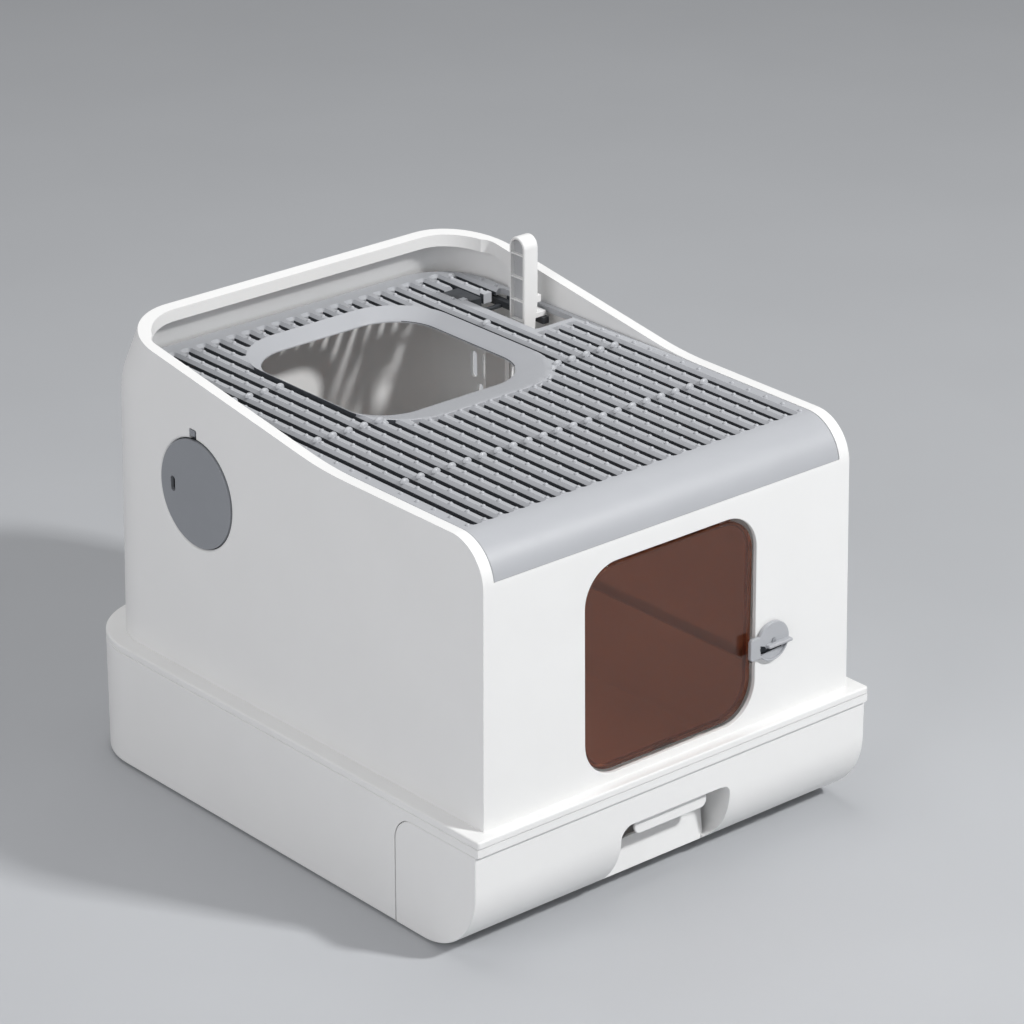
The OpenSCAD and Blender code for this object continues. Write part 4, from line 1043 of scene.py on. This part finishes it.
# Turn lock: a grey knob with a ridge to grip and a tab that reaches over the flap's edge.
# Its spindle goes through the hood's wall, and a washer and a screw hold it from behind.
lock_x, lock_z, knob_y, knob_t, knob_r = 104.6, 178.4, -247.49, 3.6, 16.8
dial_x, dial_z = lock_x + 0.4, lock_z - 1.4
lock_reach, lock_tab_low, lock_tab_high, lock_tab_round = 24.3, 165.6, 184.6, 3.2
grip_x0, grip_x1, grip_h, grip_w, grip_z, grip_round = 96.2, 121.9, 4.6, 2.8, 175.3, 1.35
spindle_r, spindle_end, spindle_bore = 4.0, -242.9, 2.05
knob_face = knob_y - knob_t
knob_outline = circle(dial_x, dial_z, knob_r, 90)
knob = solid("turn_knob", knob_outline, round_ends(knob_face, knob_y, 0.9), along_y)
tab_outline = rounded_box(lock_x - lock_reach, lock_tab_low, lock_x - 5, lock_tab_high, lock_tab_round, 6)
knob_tab = solid("tab", tab_outline, round_ends(knob_face, knob_y, 0.9), along_y)
join(knob, knob_tab)


def into_knob(u, v, w):
    return (u, knob_face + w, v)


dip = arc(dial_x, dial_z - 0.6, knob_r - 2.0, 188, 352, 30)
grip_pocket = [(90.6, 176.8), (91.2, 168.6), (96.0, 168.4), (115.5, 169.4), (115.5, 171.4),
               (98.5, 171.6), (96.4, 174.8)]
carve(knob, dip, hole_stations(1.8, 0.5), into_knob)
carve(knob, grip_pocket, [(-3, 0.2), (3.2, 0)], into_knob)
grip_outline = rounded_box(grip_x0, grip_z - grip_w / 2, grip_x1, grip_z + grip_w / 2, grip_round, 6)
grip = solid("grip", grip_outline, round_ends(knob_face - grip_h, knob_y - 1, 1.1), along_y)
spindle_outline = circle(lock_x, lock_z, spindle_r, 36)
spindle = solid("spindle", spindle_outline, through(knob_y - 1, spindle_end), along_y)
join(knob, grip, spindle)
spindle_hole = circle(lock_x, lock_z, spindle_bore)
carve(knob, spindle_hole, through(knob_y, spindle_end + 1), along_y)
finish(knob, 0.3, 40, grey_polypropylene, "lock", "grey_plastic", "lock_knob")
pocket_box = ((90.4, 115.7), (knob_face + 0.9, knob_y - 0.2), (168.2, 177.0))


def in_shaded_grip_pocket(centre, normal):
    in_box = all(low < c < high for c, (low, high) in zip(centre, pocket_box))
    return in_box and centre.z < 173.5 + (98 - centre.x) * 0.5


# The pocket beside the grip gets the lid gaps' dark grey, a painted shade for the shadow under the grip's
# ridge, and the same coarse, dull finish.
dress_faces(knob, gap_painted_shade, in_shaded_grip_pocket)

# Odour cover: a grey twist-off disc of polypropylene on the left wall, with a coin slot near its rear.
# Its skirt turns in the charcoal cup. The cup's own latch, a small lug, shows in the notch above it.
cover_x, cover_t, skirt_deep, skirt_r, skirt_t = -188.92, 3.4, 9.0, 41.5, 2.0
coin_y, coin_w, coin_h = odour_y + 29.6, 5.6, 13.0
cup_flange_x, latch_half, latch_gap = -183.4, 3.4, 3.6
cover_back, skirt_end = cover_x + cover_t, cover_x + cover_t + skirt_deep
cover_outline = circle(odour_y, odour_z, odour_r, 120)
cover = solid("odour_cover_disc", cover_outline, round_ends(cover_x, cover_back, 0.9), along_x)
outer, inner = (circle(odour_y, odour_z, r, 72) for r in (skirt_r, skirt_r - skirt_t))
skirt = solid("skirt", outer, through(cover_x + 1, skirt_end), along_x)
carve(skirt, inner, through(cover_back, skirt_end + 1), along_x)
join(cover, skirt)


def into_cover(u, v, w):
    return (cover_x + w, u, v)


coin_outline = slot_outline(coin_y, odour_z - coin_h / 2, odour_z + coin_h / 2, coin_w)
carve(cover, coin_outline, hole_stations(cover_t + 1, 0.4), into_cover)
# A shade deeper than the lid's grey, with the same satin grain.
cover_polypropylene = moulded("cover_moulded_polypropylene", "#94979C", "#8F9297", 0.45, 0.9, 0.02)
finish(cover, 0.3, 40, cover_polypropylene, "odour_cap", "grey_plastic", "odour_cover")
cup_latch = block((cover_x + 0.6, key_y - latch_half, odour_z + odour_r + latch_gap),
                  (cup_flange_x, key_y + latch_half, key_top - 0.6))
cup_latch.name = "cup_latch"
dress(cup_latch, cover_polypropylene, "hood", "grey_plastic")

# Runners, stops, feet, seal, pins, rod, screws, cup and charcoal keep their CAD shapes, with real finishes.
# The metal parts are zinc-plated steel, drawn or stamped, with fine lines along their length.
line_long, line_wide, fibre, fibre_loose = 30.0, 1.2, 1.5, 0.3
zinc_steel, shader, where = new_material("zinc_plated_steel")
stretch = add_node(zinc_steel, "ShaderNodeMapping", [("Vector", where, "Object")])
lines_across = 1 / (line_wide * mm)
stretch.inputs["Scale"].default_value = (1 / (line_long * mm), lines_across, lines_across)
tint(zinc_steel, shader, noise(zinc_steel, stretch, 1 / mm, 4, "Vector"), "#A9ABAE", "#C6C8CA")
shader.inputs["Metallic"].default_value = 1.0
shader.inputs["Roughness"].default_value = 0.32
for node in ("tray_screws", "lid_pins", "door_rod", "holder_screws", "lock_washer", "lock_screw"):
    paint(node, zinc_steel)
for node in ("left_runner", "right_runner", "drawer_stops"):
    paint(node, grey_polypropylene)
paint("odour_cup", dark_polypropylene)
# Pressed rubber, whose fine pores make it matt.
black_rubber = moulded("black_nitrile_rubber", "#232425", "#1B1C1D", 0.7, 0.6, 0.05, 0.3)
for node in ("rubber_feet", "cover_seal"):
    paint(node, black_rubber)
# Needled felt holds the charcoal; its loose fibres give almost no shine.
charcoal_felt, shader, where = new_material("charcoal_needled_felt")
fibres = noise(charcoal_felt, where, fibre, 6)
tint(charcoal_felt, shader, fibres, "#17181A", "#34363A")
pile = add_node(charcoal_felt, "ShaderNodeBump", [("Height", fibres, "Fac")])
pile.inputs["Distance"].default_value = fibre_loose * mm
charcoal_felt.node_tree.links.new(pile.outputs["Normal"], shader.inputs["Normal"])
shader.inputs["Roughness"].default_value = 0.95
paint("charcoal_pack", charcoal_felt)

# Flap's catch: a flat magnet in a dark polypropylene case, glued to the sill.
# It draws a thin strip of stamped steel, which is glued behind the flap's lower rim.
magnet_x, magnet_y0, magnet_y1, magnet_h = 12.0, -244.0, -238.0, 2.8
striker_x, striker_t, striker_low, striker_high = 10.0, 0.9, 0.3, 2.0
magnet = block((-magnet_x, magnet_y0, flange_top), (magnet_x, magnet_y1, flange_top + magnet_h), 0.6)
finish(magnet, 0.3, 38, dark_polypropylene, "hood", "dark_plastic", "door_magnet")
striker_y = flap_y + flap_rim
striker = block((-striker_x, striker_y, flap_low + striker_low),
                (striker_x, striker_y + striker_t, flap_low + striker_high), 0.2)
shade(striker)
dress(striker, zinc_steel, "door", "steel", "door_striker")
